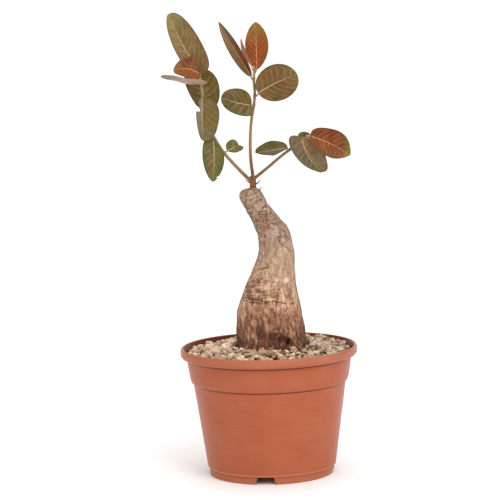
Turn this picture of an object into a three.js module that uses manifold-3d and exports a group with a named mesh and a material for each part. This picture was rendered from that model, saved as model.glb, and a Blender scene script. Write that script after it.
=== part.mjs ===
// Potted phyllanthus: a caudex-forming shrublet with three young branchlets,
// standing in a plastic nursery pot filled with soil mix and dressed with pumice.
// Millimetres, +Z up, origin on the pot axis at the level of the foot.

import * as THREE from 'three';
import { mergeVertices } from 'three/addons/utils/BufferGeometryUtils.js';
import Module from 'manifold-3d';

const wasm = await Module();
wasm.setup();

// ---------------------------------------------------------------- driving dimensions

const GAP = 0.35;            // clearance left between touching pieces

const POT = {
  rimRadius: 85,             // outside of the rolled rim
  height: 123,
  wall: 1.6,
  footRadius: 59.9,
  footHeight: 6.8,
  floorUnder: 8.2,           // underside of the raised floor
  floorTop: 10,
  hubRadius: 12,             // dimple in the floor that reaches the table
  sides: 48,
  notches: 4,
  notchTurn: -96.3,          // degrees, direction of the first notch
  notchTop: 15.5,
  notchFoot: 19.5,
  drains: 8,
  drainRadius: 4.5,
  drainCircle: 40,
};

const MIX_TOP = 108;
const TRUNK_X = 4;           // axis of the buried part of the trunk
const TRUNK_BASE_RADIUS = 34.8;
const TRUNK_BURIED_TO = 95;

const DRESSING = {
  bottom: MIX_TOP + GAP,
  wallHeight: 115.5,         // height of the bed at the pot wall
  trunkHeight: 121.5,        // height of the bed at the trunk
  grains: 126,
  grainSize: 6.8,            // half size of a grain
  seed: 22,
};

// Trunk cross-sections: height, offset of the centre in X, radius.
const TRUNK = [
  [126, 4.0, 34.8], [132, 3.2, 34.2], [139, 2.5, 33.2], [148, 2.1, 31.8],
  [156, 1.8, 31.0], [163, 2.0, 29.3], [170, 2.4, 27.3], [177, 3.4, 25.5],
  [184, 4.2, 23.6], [191, 5.9, 21.8], [198, 7.0, 20.0], [206, 9.0, 18.4],
  [214, 10.0, 17.1], [222, 9.4, 16.1], [230, 8.3, 15.5], [237, 5.6, 15.5],
  [244, 1.3, 13.9], [250, -2.5, 13.0], [256, -6.5, 12.3], [262, -10.2, 11.8],
  [267, -12.1, 11.7], [271, -12.8, 10.3], [274, -12.2, 7.3], [275.2, -11.6, 3.6],
];

const NECK = {
  foot: [-10.6, 0, 271.5],
  top: [-10.4, 0, 288],
  radius: 3.2,
  socket: 271,
};

// Woody branchlets: path of the centre line and radii at foot and tip.
const BRANCHLETS = {
  left: {
    path: [[-13.0, -0.6, 282.6], [-18.8, -1.5, 288.4], [-26, -2.8, 296.4], [-32.7, -4, 304.2],
      [-37.8, -4.8, 310.6], [-45.2, -6, 323], [-52, -5, 334], [-54.6, -3, 345],
      [-55.6, -2, 358], [-56, -1, 370], [-58, 0, 382]],
    radii: [1.7, 1.1],
    tip: [-58.4, 0, 385],
  },
  centre: {
    path: [[-10.4, 0.6, 287.2], [-11.8, 1.4, 301], [-12, 2.4, 316], [-11, 3.2, 332],
      [-9.6, 3.4, 343], [-7.2, 3, 355], [-6.2, 3, 366], [-6.8, 2.6, 377], [-6.1, 1, 387]],
    radii: [1.55, 1.15],
    tip: [-6.2, 0.4, 391],
  },
  right: {
    path: [[-7.8, -0.6, 285.2], [-1.1, -2.5, 290.4], [6.7, -6, 296.8], [14.4, -10, 303.4],
      [24.3, -14.6, 311], [34, -17.5, 318.2], [42, -20.5, 323.4]],
    radii: [1.5, 1.1],
    tip: [45, -21.5, 325],
  },
};

// Leaves. base and tip are the ends of the midrib; halves are the widths of the blade left
// and right of it; ends shape the two ends (small is blunt); mid moves the widest place;
// lobes carry the two sides back past the petiole and tips carry them on past the tip; bend
// curves the midrib in the blade and arch out of it; turn rolls the blade about the midrib;
// fold lifts the two halves; at is the height on the branchlet where the petiole starts.
const LEAVES = {
  left_1: { on: 'left', at: 309.6, base: [-33.6, -6.4, 311.6], tip: [-22.9, 1, 316.2],
    halves: [8, 6.5], ends: [0.43, 0.56], bend: -0.02, mid: 1.03, lobes: [1.7, -2.4],
    tips: [2, 8], turn: 15, fold: [20, 14], arch: 0.05 },
  left_2: { on: 'left', at: 324, base: [-46.8, -10, 324.4], tip: [-48.3, -14, 283.4],
    halves: [10.1, 11.7], ends: [0.62, 0.66], bend: 0.03, mid: 0.76, lobes: [-8, 5],
    tips: [1.5, -1.7], turn: 0, fold: [18, 18], arch: 0.04 },
  left_3: { on: 'left', at: 364, base: [-55.8, -6.5, 363], tip: [-55.5, -16, 322.5],
    halves: [17, 7.5], ends: [0.75, 0.36], bend: -0.02, mid: 0.8, lobes: [0, 1],
    tips: [0, 0], turn: 0, fold: [14, 45], arch: 0.05 },
  left_4: { on: 'left', at: 352, base: [-54.2, 5.5, 352], tip: [-66.5, 16, 389.2],
    halves: [14, 16.6], ends: [0.4, 0.54], bend: -0.1, mid: 1.2, lobes: [0, 14],
    tips: [0, 0], turn: 0, fold: [12, 12], arch: 0.04 },
  left_5: { on: 'left', at: 379, base: [-57.2, 5, 384], tip: [-85.6, 16, 442.2],
    halves: [9.5, 17], ends: [0.38, 0.46], bend: 0.03, mid: 0.78, lobes: [0, 1],
    tips: [0, 0], turn: 0, fold: [14, 14], arch: 0.04 },
  left_6: { on: 'left', at: 382, base: [-57.4, -4.6, 384.6], tip: [-82.2, -9.5, 389.4],
    halves: [10.8, 12], ends: [0.57, 0.53], bend: -0.12, mid: 0.78, lobes: [0, 0],
    tips: [0, 0], turn: -20, fold: [14, 14], arch: 0.04 },
  left_7: { on: 'left', at: 374, base: [-52, -10, 376], tip: [-92.4, -33, 385.4],
    halves: [7.6, 8.2], ends: [0.9, 0.3], bend: -0.12, mid: 0.6, lobes: [2.5, 2.5],
    tips: [0, 0], turn: -108, fold: [0, 6], arch: 0.03 },
  centre_1: { on: 'centre', at: 353, base: [-9.8, -3.2, 354], tip: [-38.1, 4, 362.4],
    halves: [11.3, 13.8], ends: [0.66, 0.56], bend: 0.05, mid: 0.82, lobes: [15, 0],
    tips: [0, 0], turn: 0, fold: [14, 14], arch: 0.04 },
  centre_2: { on: 'centre', at: 362, base: [-3, -2, 365.3], tip: [34.4, -4, 381.8],
    halves: [17.4, 18.2], ends: [0.54, 0.51], bend: 0.03, mid: 1.07, lobes: [5, 0],
    tips: [0, 0], turn: 0, fold: [14, 14], arch: 0.04 },
  centre_3: { on: 'centre', at: 378, base: [-9, 5.5, 380.8], tip: [-38.5, 13, 433.3],
    halves: [8.8, 8.4], ends: [0.7, 0.78], bend: 0, mid: 0.8, lobes: [0, 0],
    tips: [0, 0], turn: 8, fold: [50, 50], arch: 0.04 },
  centre_4: { on: 'centre', at: 384, base: [-3.7, 4.6, 387], tip: [-3.5, 9, 432],
    halves: [10.8, 12], ends: [0.76, 0.7], bend: 0, mid: 1, lobes: [0, 0],
    tips: [0, 0], turn: 0, fold: [14, 14], arch: 0.04 },
  centre_5: { on: 'centre', at: 386.5, base: [-7.8, -4.2, 391], tip: [-17.6, -11, 417.4],
    halves: [5, 5], ends: [0.6, 0.75], bend: 0, mid: 0.9, lobes: [0, 0],
    tips: [0, 0], turn: 72, fold: [12, 12], arch: 0.04 },
  right_1: { on: 'right', at: 311.4, base: [23.3, -18.2, 313.8], tip: [-7.2, -13, 309.5],
    halves: [11.2, 11.4], ends: [0.53, 0.69], bend: 0.076, mid: 0.88, lobes: [-2.8, -1.4],
    tips: [-8, 4.6], turn: -50, fold: [14, 14], arch: 0.04 },
  right_2: { on: 'right', at: 321, base: [36.3, -24.2, 323.4], tip: [54.4, -26, 290.2],
    halves: [15.3, 11.6], ends: [1, 0.46], bend: -0.08, mid: 0.71, lobes: [-12, 19],
    tips: [6.8, -8], turn: 0, fold: [4, 14], arch: 0.03 },
  right_3: { on: 'right', at: 323.2, base: [44.6, -30, 324.7], tip: [80.9, -45, 307.3],
    halves: [14.1, 13.5], ends: [0.31, 0.74], bend: 0.036, mid: 1.32, lobes: [4.6, -4.8],
    tips: [0.6, -1.1], turn: 0, fold: [14, 25], arch: 0.04 },
  right_4: { on: 'right', at: 321.8, base: [45.5, -15, 320.8], tip: [33, -9, 323.3],
    halves: [3, 6], ends: [0.5, 0.5], bend: 0, mid: 1, lobes: [0, 3],
    tips: [0, 0], turn: 0, fold: [12, 12], arch: 0.04 },
};

const BLADE = { thickness: 0.8, along: 10, across: 3, petioleRadius: 0.75, facing: [0, -1, 0.12] };

// ---------------------------------------------------------------- helpers

const vec = (p) => new THREE.Vector3(p[0], p[1], p[2]);

function random(seed) {
  let state = seed;
  return () => {
    state = (state * 1664525 + 1013904223) % 4294967296;
    return state / 4294967296;
  };
}

function toSolid(geometry) {
  const bare = geometry.clone();
  bare.deleteAttribute('normal');
  bare.deleteAttribute('uv');
  const merged = mergeVertices(bare, 1e-4);
  return new wasm.Manifold(new wasm.Mesh({
    numProp: 3,
    vertProperties: new Float32Array(merged.attributes.position.array),
    triVerts: new Uint32Array(merged.index.array),
  }));
}

function toGeometry(solid) {
  const mesh = solid.getMesh();
  const geometry = new THREE.BufferGeometry();
  geometry.setAttribute('position', new THREE.BufferAttribute(new Float32Array(mesh.vertProperties), 3));
  geometry.setIndex(new THREE.BufferAttribute(new Uint32Array(mesh.triVerts), 1));
  geometry.computeVertexNormals();
  return geometry;
}

function fromLists(points, triangles) {
  const geometry = new THREE.BufferGeometry();
  geometry.setAttribute('position', new THREE.Float32BufferAttribute(points.flatMap((p) => p.toArray()), 3));
  geometry.setIndex(triangles.flat());
  return geometry;
}

// A closed body through a row of rings, each with the same number of points.
function loft(rings) {
  const n = rings[0].length;
  const points = rings.flat();
  const triangles = [];
  for (let i = 0; i < rings.length - 1; i += 1) {
    for (let j = 0; j < n; j += 1) {
      const a = i * n + j;
      const b = i * n + (j + 1) % n;
      triangles.push([a, b, b + n], [a, b + n, a + n]);
    }
  }
  const centre = (ring) => ring.reduce((sum, p) => sum.add(p), new THREE.Vector3()).divideScalar(n);
  const first = points.length;
  points.push(centre(rings[0]), centre(rings[rings.length - 1]));
  const lastRing = (rings.length - 1) * n;
  for (let j = 0; j < n; j += 1) {
    const next = (j + 1) % n;
    triangles.push([first, next, j], [first + 1, lastRing + j, lastRing + next]);
  }
  return fromLists(points, triangles);
}

// A round rod along a curve with a radius that changes from foot to tip.
function rod(curve, radiusAt, sides, steps) {
  const frames = curve.computeFrenetFrames(steps, false);
  const rings = [];
  for (let i = 0; i <= steps; i += 1) {
    const t = i / steps;
    const middle = curve.getPointAt(t);
    const ring = [];
    for (let j = 0; j < sides; j += 1) {
      const angle = (2 * Math.PI * j) / sides;
      const spoke = frames.normals[i].clone().multiplyScalar(Math.cos(angle));
      spoke.addScaledVector(frames.binormals[i], Math.sin(angle));
      ring.push(middle.clone().addScaledVector(spoke, radiusAt(t)));
    }
    rings.push(ring);
  }
  return loft(rings);
}

function spike(from, to, radius) {
  const curve = new THREE.LineCurve3(vec(from), vec(to));
  return rod(curve, (t) => radius * (1 - 0.6 * t), 5, 1);
}

function lathe(profile) {
  const points = profile.map(([r, z]) => new THREE.Vector2(r, z));
  return new THREE.LatheGeometry(points, POT.sides).rotateX(Math.PI / 2);
}

function drum(radius, low, high, x, sides) {
  const body = new THREE.CylinderGeometry(radius, radius, high - low, sides);
  return body.rotateX(Math.PI / 2).translate(x, 0, (low + high) / 2);
}

// ---------------------------------------------------------------- pot

// Inner face of the wall from the floor to the crest of the rim.
const INNER_WALL = [[59.1, POT.floorTop], [60.4, 12], [71.7, 88.8], [74.5, 93.6], [77.6, 112.5],
  [81.3, 120.8], [82.3, 122.6]];

function innerRadius(z) {
  let k = 1;
  while (k < INNER_WALL.length - 1 && INNER_WALL[k][1] < z) {
    k += 1;
  }
  const [r0, z0] = INNER_WALL[k - 1];
  const [r1, z1] = INNER_WALL[k];
  return r0 + ((r1 - r0) * (z - z0)) / (z1 - z0);
}

function makePot() {
  const outside = [[0, 0], [POT.hubRadius, 0], [15.5, POT.floorUnder], [57.7, POT.floorUnder], [57.9, 0],
    [POT.footRadius, 0], [60.2, POT.footHeight], [61.8, 7.8], [73.3, 88.8], [75.3, 90.6], [76.2, 93],
    [79.3, 112.3], [83.4, 114.2], [84.7, 115.6], [POT.rimRadius, 117], [POT.rimRadius, 121],
    [84.6, 122.4], [83.5, POT.height]];
  const inside = INNER_WALL.slice().reverse();
  inside.push([14.5, POT.floorTop], [11, 1.8], [0, 1.8]);
  let pot = toSolid(lathe([...outside, ...inside]));

  const outline = new THREE.Shape();
  outline.moveTo(-POT.notchFoot / 2 - 0.5, -1);
  outline.lineTo(POT.notchFoot / 2 + 0.5, -1);
  outline.lineTo(POT.notchTop / 2, POT.footHeight);
  outline.lineTo(-POT.notchTop / 2, POT.footHeight);
  const notch = new THREE.ExtrudeGeometry(outline, { depth: 14, bevelEnabled: false });
  notch.rotateX(Math.PI / 2).rotateZ(Math.PI / 2).translate(50, 0, 0);
  for (let i = 0; i < POT.notches; i += 1) {
    const turn = THREE.MathUtils.degToRad(POT.notchTurn) + (2 * Math.PI * i) / POT.notches;
    pot = pot.subtract(toSolid(notch.clone().rotateZ(turn)));
  }
  for (let i = 0; i < POT.drains; i += 1) {
    const turn = (2 * Math.PI * (i + 0.5)) / POT.drains;
    const hole = drum(POT.drainRadius, 6, 12, POT.drainCircle, 10).rotateZ(turn);
    pot = pot.subtract(toSolid(hole));
  }
  return toGeometry(pot);
}

// ---------------------------------------------------------------- filling

function makeMix() {
  const profile = [[0, 1.8 + GAP], [11 - GAP, 1.8 + GAP], [14.5 - GAP, POT.floorTop + GAP]];
  for (const [r, z] of INNER_WALL.filter((p) => p[1] < MIX_TOP)) {
    profile.push([r - GAP, Math.max(z, POT.floorTop + GAP)]);
  }
  profile.push([innerRadius(MIX_TOP) - GAP, MIX_TOP], [0, MIX_TOP]);
  const hole = drum(TRUNK_BASE_RADIUS + GAP, TRUNK_BURIED_TO - GAP, MIX_TOP + 5, TRUNK_X, 28);
  return toGeometry(toSolid(lathe(profile)).subtract(toSolid(hole)));
}

// One angular grain: an octahedron whose corners are pushed about.
function grain(size, next) {
  const body = mergeVertices(new THREE.OctahedronGeometry(1, 0).deleteAttribute('normal').deleteAttribute('uv'));
  const corners = body.attributes.position;
  for (let i = 0; i < corners.count; i += 1) {
    const push = () => 0.78 + 0.34 * next();
    corners.setXYZ(i, corners.getX(i) * push(), corners.getY(i) * push(), corners.getZ(i) * push());
  }
  body.scale(size * (0.95 + 0.35 * next()), size * (0.9 + 0.3 * next()), size * (0.75 + 0.3 * next()));
  body.rotateX(6.28 * next());
  body.rotateY(6.28 * next());
  body.rotateZ(6.28 * next());
  return body;
}

function makeDressing() {
  const next = random(DRESSING.seed);
  const wall = (z) => innerRadius(z) - GAP;
  const bed = lathe([[0, DRESSING.bottom], [wall(DRESSING.bottom), DRESSING.bottom],
    [wall(DRESSING.wallHeight), DRESSING.wallHeight], [58, 118], [46, DRESSING.trunkHeight],
    [0, DRESSING.trunkHeight]]);
  let heap = toSolid(bed);
  const inner = 39.5;
  const outer = 76;
  for (let i = 0; i < DRESSING.grains; i += 1) {
    const share = (i + 0.5) / DRESSING.grains;
    const radius = Math.sqrt(inner ** 2 + (outer ** 2 - inner ** 2) * share) + 1.5 * (next() - 0.5);
    const angle = i * 2.39996 + 0.15 * (next() - 0.5);
    const rise = Math.max(0, (outer - radius) / (outer - inner));
    const height = 115.6 + 6 * rise ** 1.4 + 1.8 * (next() - 0.5);
    const stone = grain(DRESSING.grainSize, next);
    const shift = TRUNK_X * rise;
    stone.translate(radius * Math.cos(angle) + shift, radius * Math.sin(angle), height);
    heap = heap.add(toSolid(stone));
  }
  const room = lathe([[0, DRESSING.bottom], [wall(DRESSING.bottom), DRESSING.bottom], [wall(112.5), 112.5],
    [wall(120.8), 120.8], [wall(122.6), 122.6], [wall(122.6), 135], [0, 135]]);
  const hole = drum(TRUNK_BASE_RADIUS + GAP, DRESSING.bottom - 5, 140, TRUNK_X, 28);
  const layer = heap.intersect(toSolid(room)).subtract(toSolid(hole));
  // Only the outer skin is kept: pockets closed in between grains are filled.
  const skins = layer.decompose();
  skins.sort((a, b) => b.volume() - a.volume());
  return toGeometry(skins[0]);
}

// ---------------------------------------------------------------- trunk

// Share by which the bark stands out at a place: broad ribs that follow the grain, faint
// near the crown and gone below the dressing.
function barkRelief(angle, z) {
  const above = THREE.MathUtils.smoothstep(z, 128, 145);
  const ribs = 0.018 * Math.cos(5 * angle + z / 23) + 0.014 * Math.cos(9 * angle - z / 17 + 1);
  const rings = 0.008 * Math.sin(z / 3.1 + 2 * Math.cos(angle));
  return above * (ribs + rings);
}

function makeTrunk() {
  const sides = 28;
  const rings = [];
  const sections = [[TRUNK_BURIED_TO, TRUNK_X, TRUNK_BASE_RADIUS], ...TRUNK];
  for (const [z, x, radius] of sections) {
    const ring = [];
    for (let j = 0; j < sides; j += 1) {
      const angle = (2 * Math.PI * j) / sides;
      const r = radius * (1 + barkRelief(angle, z));
      ring.push(new THREE.Vector3(x + r * Math.cos(angle), r * Math.sin(angle), z));
    }
    rings.push(ring);
  }
  const thorn = spike([-6.5, -4, 270], [-2.3, -5, 276.7], 0.9);
  const socket = drum(NECK.radius + GAP, NECK.socket, 290, NECK.foot[0], 12);
  return toGeometry(toSolid(loft(rings)).add(toSolid(thorn)).subtract(toSolid(socket)));
}

function branchCurve(branch) {
  const path = [...branch.path, branch.tip].map(vec);
  return new THREE.CatmullRomCurve3(path, false, 'centripetal');
}

function branchRod(branch, extra) {
  const [foot, tip] = branch.radii;
  const taper = (t) => (foot + (tip - foot) * Math.min(1, t * 1.05)) * (t > 0.985 ? 0.6 : 1) + extra;
  return rod(branchCurve(branch), taper, 8, 18);
}

function makeNeck() {
  const curve = new THREE.LineCurve3(vec(NECK.foot), vec(NECK.top));
  const swell = (t) => NECK.radius * (t > 0.99 ? 0.55 : 1);
  let neck = toSolid(rod(curve, swell, 12, 6));
  neck = neck.add(toSolid(spike([-11.5, -1, 279.5], [-17.8, -2, 283.8], 0.9)));
  neck = neck.add(toSolid(spike([-9, -1, 278.5], [-2.9, -2, 283], 0.9)));
  for (const branch of Object.values(BRANCHLETS)) {
    const start = new THREE.Vector3(...branch.path[0]);
    const along = branchCurve(branch).getTangentAt(0);
    const back = start.clone().addScaledVector(along, -GAP);
    const ahead = start.clone().addScaledVector(along, 8);
    const bore = rod(new THREE.LineCurve3(back, ahead), () => branch.radii[0] + GAP, 8, 1);
    neck = neck.subtract(toSolid(bore));
  }
  return toGeometry(neck);
}

// ---------------------------------------------------------------- leaves

// Place on the blade for u along the midrib (0 base, 1 tip) and v across it (+1 left edge,
// -1 right edge).
function bladePoint(leaf, frame, u, v) {
  const { base, x, y, n, length } = frame;
  const a = Math.abs(v);
  const side = v > 0 ? 0 : 1;
  const along = u ** leaf.mid;
  const ease = u * u * (3 - 2 * u);
  const end = leaf.ends[0] + (leaf.ends[1] - leaf.ends[0]) * ease;
  const swell = Math.max(0, 4 * along * (1 - along)) ** end;
  const width = leaf.halves[side] * swell;
  const fold = THREE.MathUtils.degToRad(leaf.fold[side]);
  const bow = 4 * u * (1 - u) * length;
  const stretch = leaf.tips[side] * u ** 2 - leaf.lobes[side] * (1 - u) ** 2;
  const forward = length * u + stretch * a ** 1.5 * swell;
  const sideways = v * width * Math.cos(fold * (0.6 + 0.4 * a)) + leaf.bend * bow;
  const lift = a * width * Math.sin(fold) * (0.7 + 0.3 * a) + leaf.arch * bow;
  return base.clone().addScaledVector(x, forward).addScaledVector(y, sideways).addScaledVector(n, lift);
}

function leafFrame(leaf) {
  const base = vec(leaf.base);
  const x = vec(leaf.tip).sub(base);
  const length = x.length();
  x.normalize();
  const front = vec(BLADE.facing);
  const flat = front.addScaledVector(x, -front.dot(x)).normalize();
  const side = new THREE.Vector3().crossVectors(flat, x);
  const turn = THREE.MathUtils.degToRad(leaf.turn);
  const n = flat.clone().multiplyScalar(Math.cos(turn)).addScaledVector(side, Math.sin(turn));
  const y = new THREE.Vector3().crossVectors(n, x);
  return { base, x, y, n, length };
}

// The blade: one sheet of triangles above and the same sheet below, joined round the edge.
function makeBlade(leaf, frame) {
  const rows = BLADE.along;
  const half = BLADE.across;
  const cols = 2 * half + 1;
  const sheet = [];
  const normals = [];
  const place = (u, v) => {
    const h = 0.01;
    const point = bladePoint(leaf, frame, u, v);
    const lo = Math.max(u - h, 0.004);
    const hi = Math.min(u + h, 0.996);
    const du = bladePoint(leaf, frame, hi, v).sub(bladePoint(leaf, frame, lo, v));
    const mid = Math.min(Math.max(u, 0.05), 0.95);
    const dv = bladePoint(leaf, frame, mid, Math.min(v + 0.1, 1));
    dv.sub(bladePoint(leaf, frame, mid, Math.max(v - 0.1, -1)));
    const normal = new THREE.Vector3().crossVectors(du, dv).normalize();
    sheet.push(point);
    normals.push(u === 0 || u === 1 ? frame.n.clone() : normal);
  };
  place(0, 0);
  for (let i = 1; i < rows; i += 1) {
    const u = (1 - Math.cos((Math.PI * i) / rows)) / 2;
    for (let j = 0; j < cols; j += 1) {
      place(u, 1 - j / half);
    }
  }
  place(1, 0);
  const at = (i, j) => 1 + (i - 1) * cols + j;
  const last = sheet.length - 1;
  const faces = [];
  for (let j = 0; j < cols - 1; j += 1) {
    faces.push([0, at(1, j), at(1, j + 1)]);
    faces.push([last, at(rows - 1, j + 1), at(rows - 1, j)]);
    for (let i = 1; i < rows - 1; i += 1) {
      faces.push([at(i, j), at(i + 1, j), at(i + 1, j + 1)], [at(i, j), at(i + 1, j + 1), at(i, j + 1)]);
    }
  }
  const rim = [0];
  for (let i = 1; i < rows; i += 1) {
    rim.push(at(i, cols - 1));
  }
  rim.push(last);
  for (let i = rows - 1; i > 0; i -= 1) {
    rim.push(at(i, 0));
  }
  const shift = (sign) => sheet.map((p, k) => p.clone().addScaledVector(normals[k], sign * BLADE.thickness / 2));
  const count = sheet.length;
  const points = [...shift(1), ...shift(-1)];
  const up = new THREE.Vector3().crossVectors(
    sheet[at(2, 1)].clone().sub(sheet[at(1, 1)]), sheet[at(2, 2)].clone().sub(sheet[at(1, 1)])).dot(normals[at(1, 1)]);
  const order = up > 0 ? (f) => f : (f) => [f[0], f[2], f[1]];
  const triangles = faces.map(order);
  triangles.push(...faces.map((f) => order([f[0], f[2], f[1]]).map((k) => k + count)));
  for (let k = 0; k < rim.length; k += 1) {
    const a = rim[k];
    const b = rim[(k + 1) % rim.length];
    triangles.push(order([a, b, b + count]), order([a, b + count, a + count]));
  }
  return fromLists(points, triangles);
}

// The petiole leaves the branchlet square to its bark and runs under the midrib.
function makePetiole(leaf, frame) {
  const branch = BRANCHLETS[leaf.on];
  const curve = branchCurve(branch);
  let low = 0;
  let high = 1;
  for (let k = 0; k < 24; k += 1) {
    const mid = (low + high) / 2;
    if (curve.getPointAt(mid).z < leaf.at) {
      low = mid;
    } else {
      high = mid;
    }
  }
  const root = curve.getPointAt(low);
  const along = curve.getTangentAt(low);
  const end = bladePoint(leaf, frame, 0.16, 0);
  const out = bladePoint(leaf, frame, 0.01, 0).sub(root);
  out.addScaledVector(along, -out.dot(along)).normalize();
  const skin = branch.radii[0] + (branch.radii[1] - branch.radii[0]) * Math.min(1, low * 1.05);
  const start = root.clone().addScaledVector(out, skin + GAP);
  const reach = end.distanceTo(start);
  const path = new THREE.CubicBezierCurve3(start, start.clone().addScaledVector(out, 0.3 * reach),
    end.clone().addScaledVector(frame.x, -0.35 * reach), end);
  return rod(path, (t) => BLADE.petioleRadius * (1 - 0.35 * t), 5, 4);
}

function makeLeaf(leaf) {
  const frame = leafFrame(leaf);
  const blade = toSolid(makeBlade(leaf, frame));
  return toGeometry(blade.add(toSolid(makePetiole(leaf, frame))));
}

// ---------------------------------------------------------------- assembly

const group = new THREE.Group();
group.name = 'potted_phyllanthus';

function piece(name, geometry, color, roughness, metalness = 0) {
  const material = new THREE.MeshStandardMaterial({ color, roughness, metalness, flatShading: true });
  const mesh = new THREE.Mesh(geometry, material);
  mesh.name = name;
  group.add(mesh);
}

const LEAF_COLOURS = {
  left_6: 0x8e4b33, left_7: 0x9a7368, centre_4: 0xa3522f, centre_5: 0x9a6a5c, right_3: 0x99502f,
};

piece('pot', makePot(), 0xb8664a, 0.5);
piece('potting_mix', makeMix(), 0x4a3a2c, 0.95);
piece('pumice_top_dressing', makeDressing(), 0xd6c4a4, 0.95);
piece('caudex', makeTrunk(), 0x8f7563, 0.85);
piece('shoot_neck', makeNeck(), 0x7c5040, 0.8);
for (const [side, branch] of Object.entries(BRANCHLETS)) {
  piece(`branchlet_${side}`, branchRod(branch, 0), 0x97805a, 0.6);
}
for (const [name, leaf] of Object.entries(LEAVES)) {
  piece(`leaf_${name}`, makeLeaf(leaf), LEAF_COLOURS[name] ?? 0x6f6440, 0.5);
}

export default group;
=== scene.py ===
"""Potted phyllanthus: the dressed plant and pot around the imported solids.

Shapes are worked out in millimetres in the frame of the solids (+Z up, the pot axis at x = y = 0,
the table at z = 0) and become metres when a mesh is made. Each class is one sub-assembly.
"""

import logging
import math
from collections.abc import Sequence
from dataclasses import dataclass, field
from enum import Enum
from typing import Any

import bpy
import numpy as np
from mathutils import Matrix, Vector
from numpy.typing import NDArray

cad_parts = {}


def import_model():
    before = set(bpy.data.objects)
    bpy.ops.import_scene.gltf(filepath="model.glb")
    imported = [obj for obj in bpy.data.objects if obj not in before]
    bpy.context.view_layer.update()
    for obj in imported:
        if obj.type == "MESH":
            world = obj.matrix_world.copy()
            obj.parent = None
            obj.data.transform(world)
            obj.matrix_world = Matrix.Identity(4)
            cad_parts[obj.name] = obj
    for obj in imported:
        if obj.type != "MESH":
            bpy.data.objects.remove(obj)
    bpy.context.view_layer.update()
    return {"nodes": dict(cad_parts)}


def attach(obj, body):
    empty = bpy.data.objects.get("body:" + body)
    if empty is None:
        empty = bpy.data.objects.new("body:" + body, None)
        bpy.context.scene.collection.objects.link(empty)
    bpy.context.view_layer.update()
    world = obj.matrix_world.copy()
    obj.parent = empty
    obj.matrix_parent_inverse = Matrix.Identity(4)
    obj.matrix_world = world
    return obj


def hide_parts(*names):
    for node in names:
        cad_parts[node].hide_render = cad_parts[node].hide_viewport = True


log = logging.getLogger("potted_phyllanthus")

MM = 0.001
FULL_TURN = 2.0 * math.pi
DEPTH = (0.0, 1.0, 0.0)    # a direction that no stem runs along
BODY = "root"
# Odd numbers that scatter a lattice point's indices and its field's number over 16 bits.
HASH_PRIMES = (73856093, 19349663, 83492791)
HASH_SEED = 6972593
HASH_MIX = 1274126177

Floats = NDArray[np.float64]
Ints = NDArray[np.int64]
Colour = tuple[float, float, float, float]
Point = tuple[float, float, float]
Stops = tuple[tuple[float, str], ...]
Socket = bpy.types.NodeSocket


# ---------------- numbers and colours


def linear(hex_colour: str) -> Colour:
    """Turns an sRGB colour into linear light.

    A part up to 0.04045 is divided by 12.92; a higher one becomes ((c + 0.055) / 1.055) ^ 2.4.

    Args:
        hex_colour: six hex digits after a hash sign.

    Returns:
        Linear red, green, blue and an alpha of 1.
    """
    parts = np.array([int(hex_colour[i : i + 2], 16) for i in (1, 3, 5)]) / 255.0
    light = np.where(parts <= 0.04045, parts / 12.92, ((parts + 0.055) / 1.055) ** 2.4)
    return (float(light[0]), float(light[1]), float(light[2]), 1.0)


def mix(first: Floats, second: str, share: Floats) -> Floats:
    """Mixes a field of linear colours with one colour: first * (1 - share) + second * share.

    Args:
        first: colours, (..., 4).
        second: the colour mixed in, as hex.
        share: how much of it, (...), held between 0 and 1.

    Returns:
        The mixed colours, (..., 4).
    """
    share = np.clip(share, 0.0, 1.0)[..., None]
    return first * (1.0 - share) + np.array(linear(second)) * share


def coat(hex_colour: str, grid: Floats) -> Floats:
    """One linear colour at every point of a grid, (..., 4)."""
    return np.tile(np.array(linear(hex_colour)), grid.shape[:-1] + (1,))


def ramp(stops: Stops, at: Floats) -> Floats:
    """Reads a row of colours between its stops, in straight lines.

    Args:
        stops: pairs of place and hex colour, in rising order.
        at: the places to read, any shape.

    Returns:
        Linear colours, (..., 4).
    """
    places = [stop[0] for stop in stops]
    shades = np.array([linear(stop[1]) for stop in stops])
    return np.stack([np.interp(at, places, shades[:, k]) for k in range(4)], axis=-1)


def step(values: Floats, low: float, high: float) -> Floats:
    """Smooth step from 0 at low to 1 at high: t * t * (3 - 2 t).

    Args:
        values: the field to step.
        low: where the step starts.
        high: where it ends, which may be below low.

    Returns:
        Values from 0 to 1.
    """
    t = np.clip((values - low) / (high - low), 0.0, 1.0)
    return t * t * (3.0 - 2.0 * t)


def spline(keys: Floats, values: Floats, at: Floats) -> Floats:
    """Reads a smooth curve through stops: cubic Hermite pieces with central-difference slopes.

    Args:
        keys: rising places of the stops, (n,).
        values: values at the stops, (n, k).
        at: places to read, (m,).

    Returns:
        Values, (m, k).
    """
    slopes = np.gradient(values, keys, axis=0)
    i = np.clip(np.searchsorted(keys, at, side="right") - 1, 0, len(keys) - 2)
    span = (keys[i + 1] - keys[i])[:, None]
    t = ((at - keys[i]) / (keys[i + 1] - keys[i]))[:, None]
    start = (2 * t**3 - 3 * t**2 + 1) * values[i] + (t**3 - 2 * t**2 + t) * span * slopes[i]
    end = (3 * t**2 - 2 * t**3) * values[i + 1] + (t**3 - t**2) * span * slopes[i + 1]
    return start + end


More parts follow.
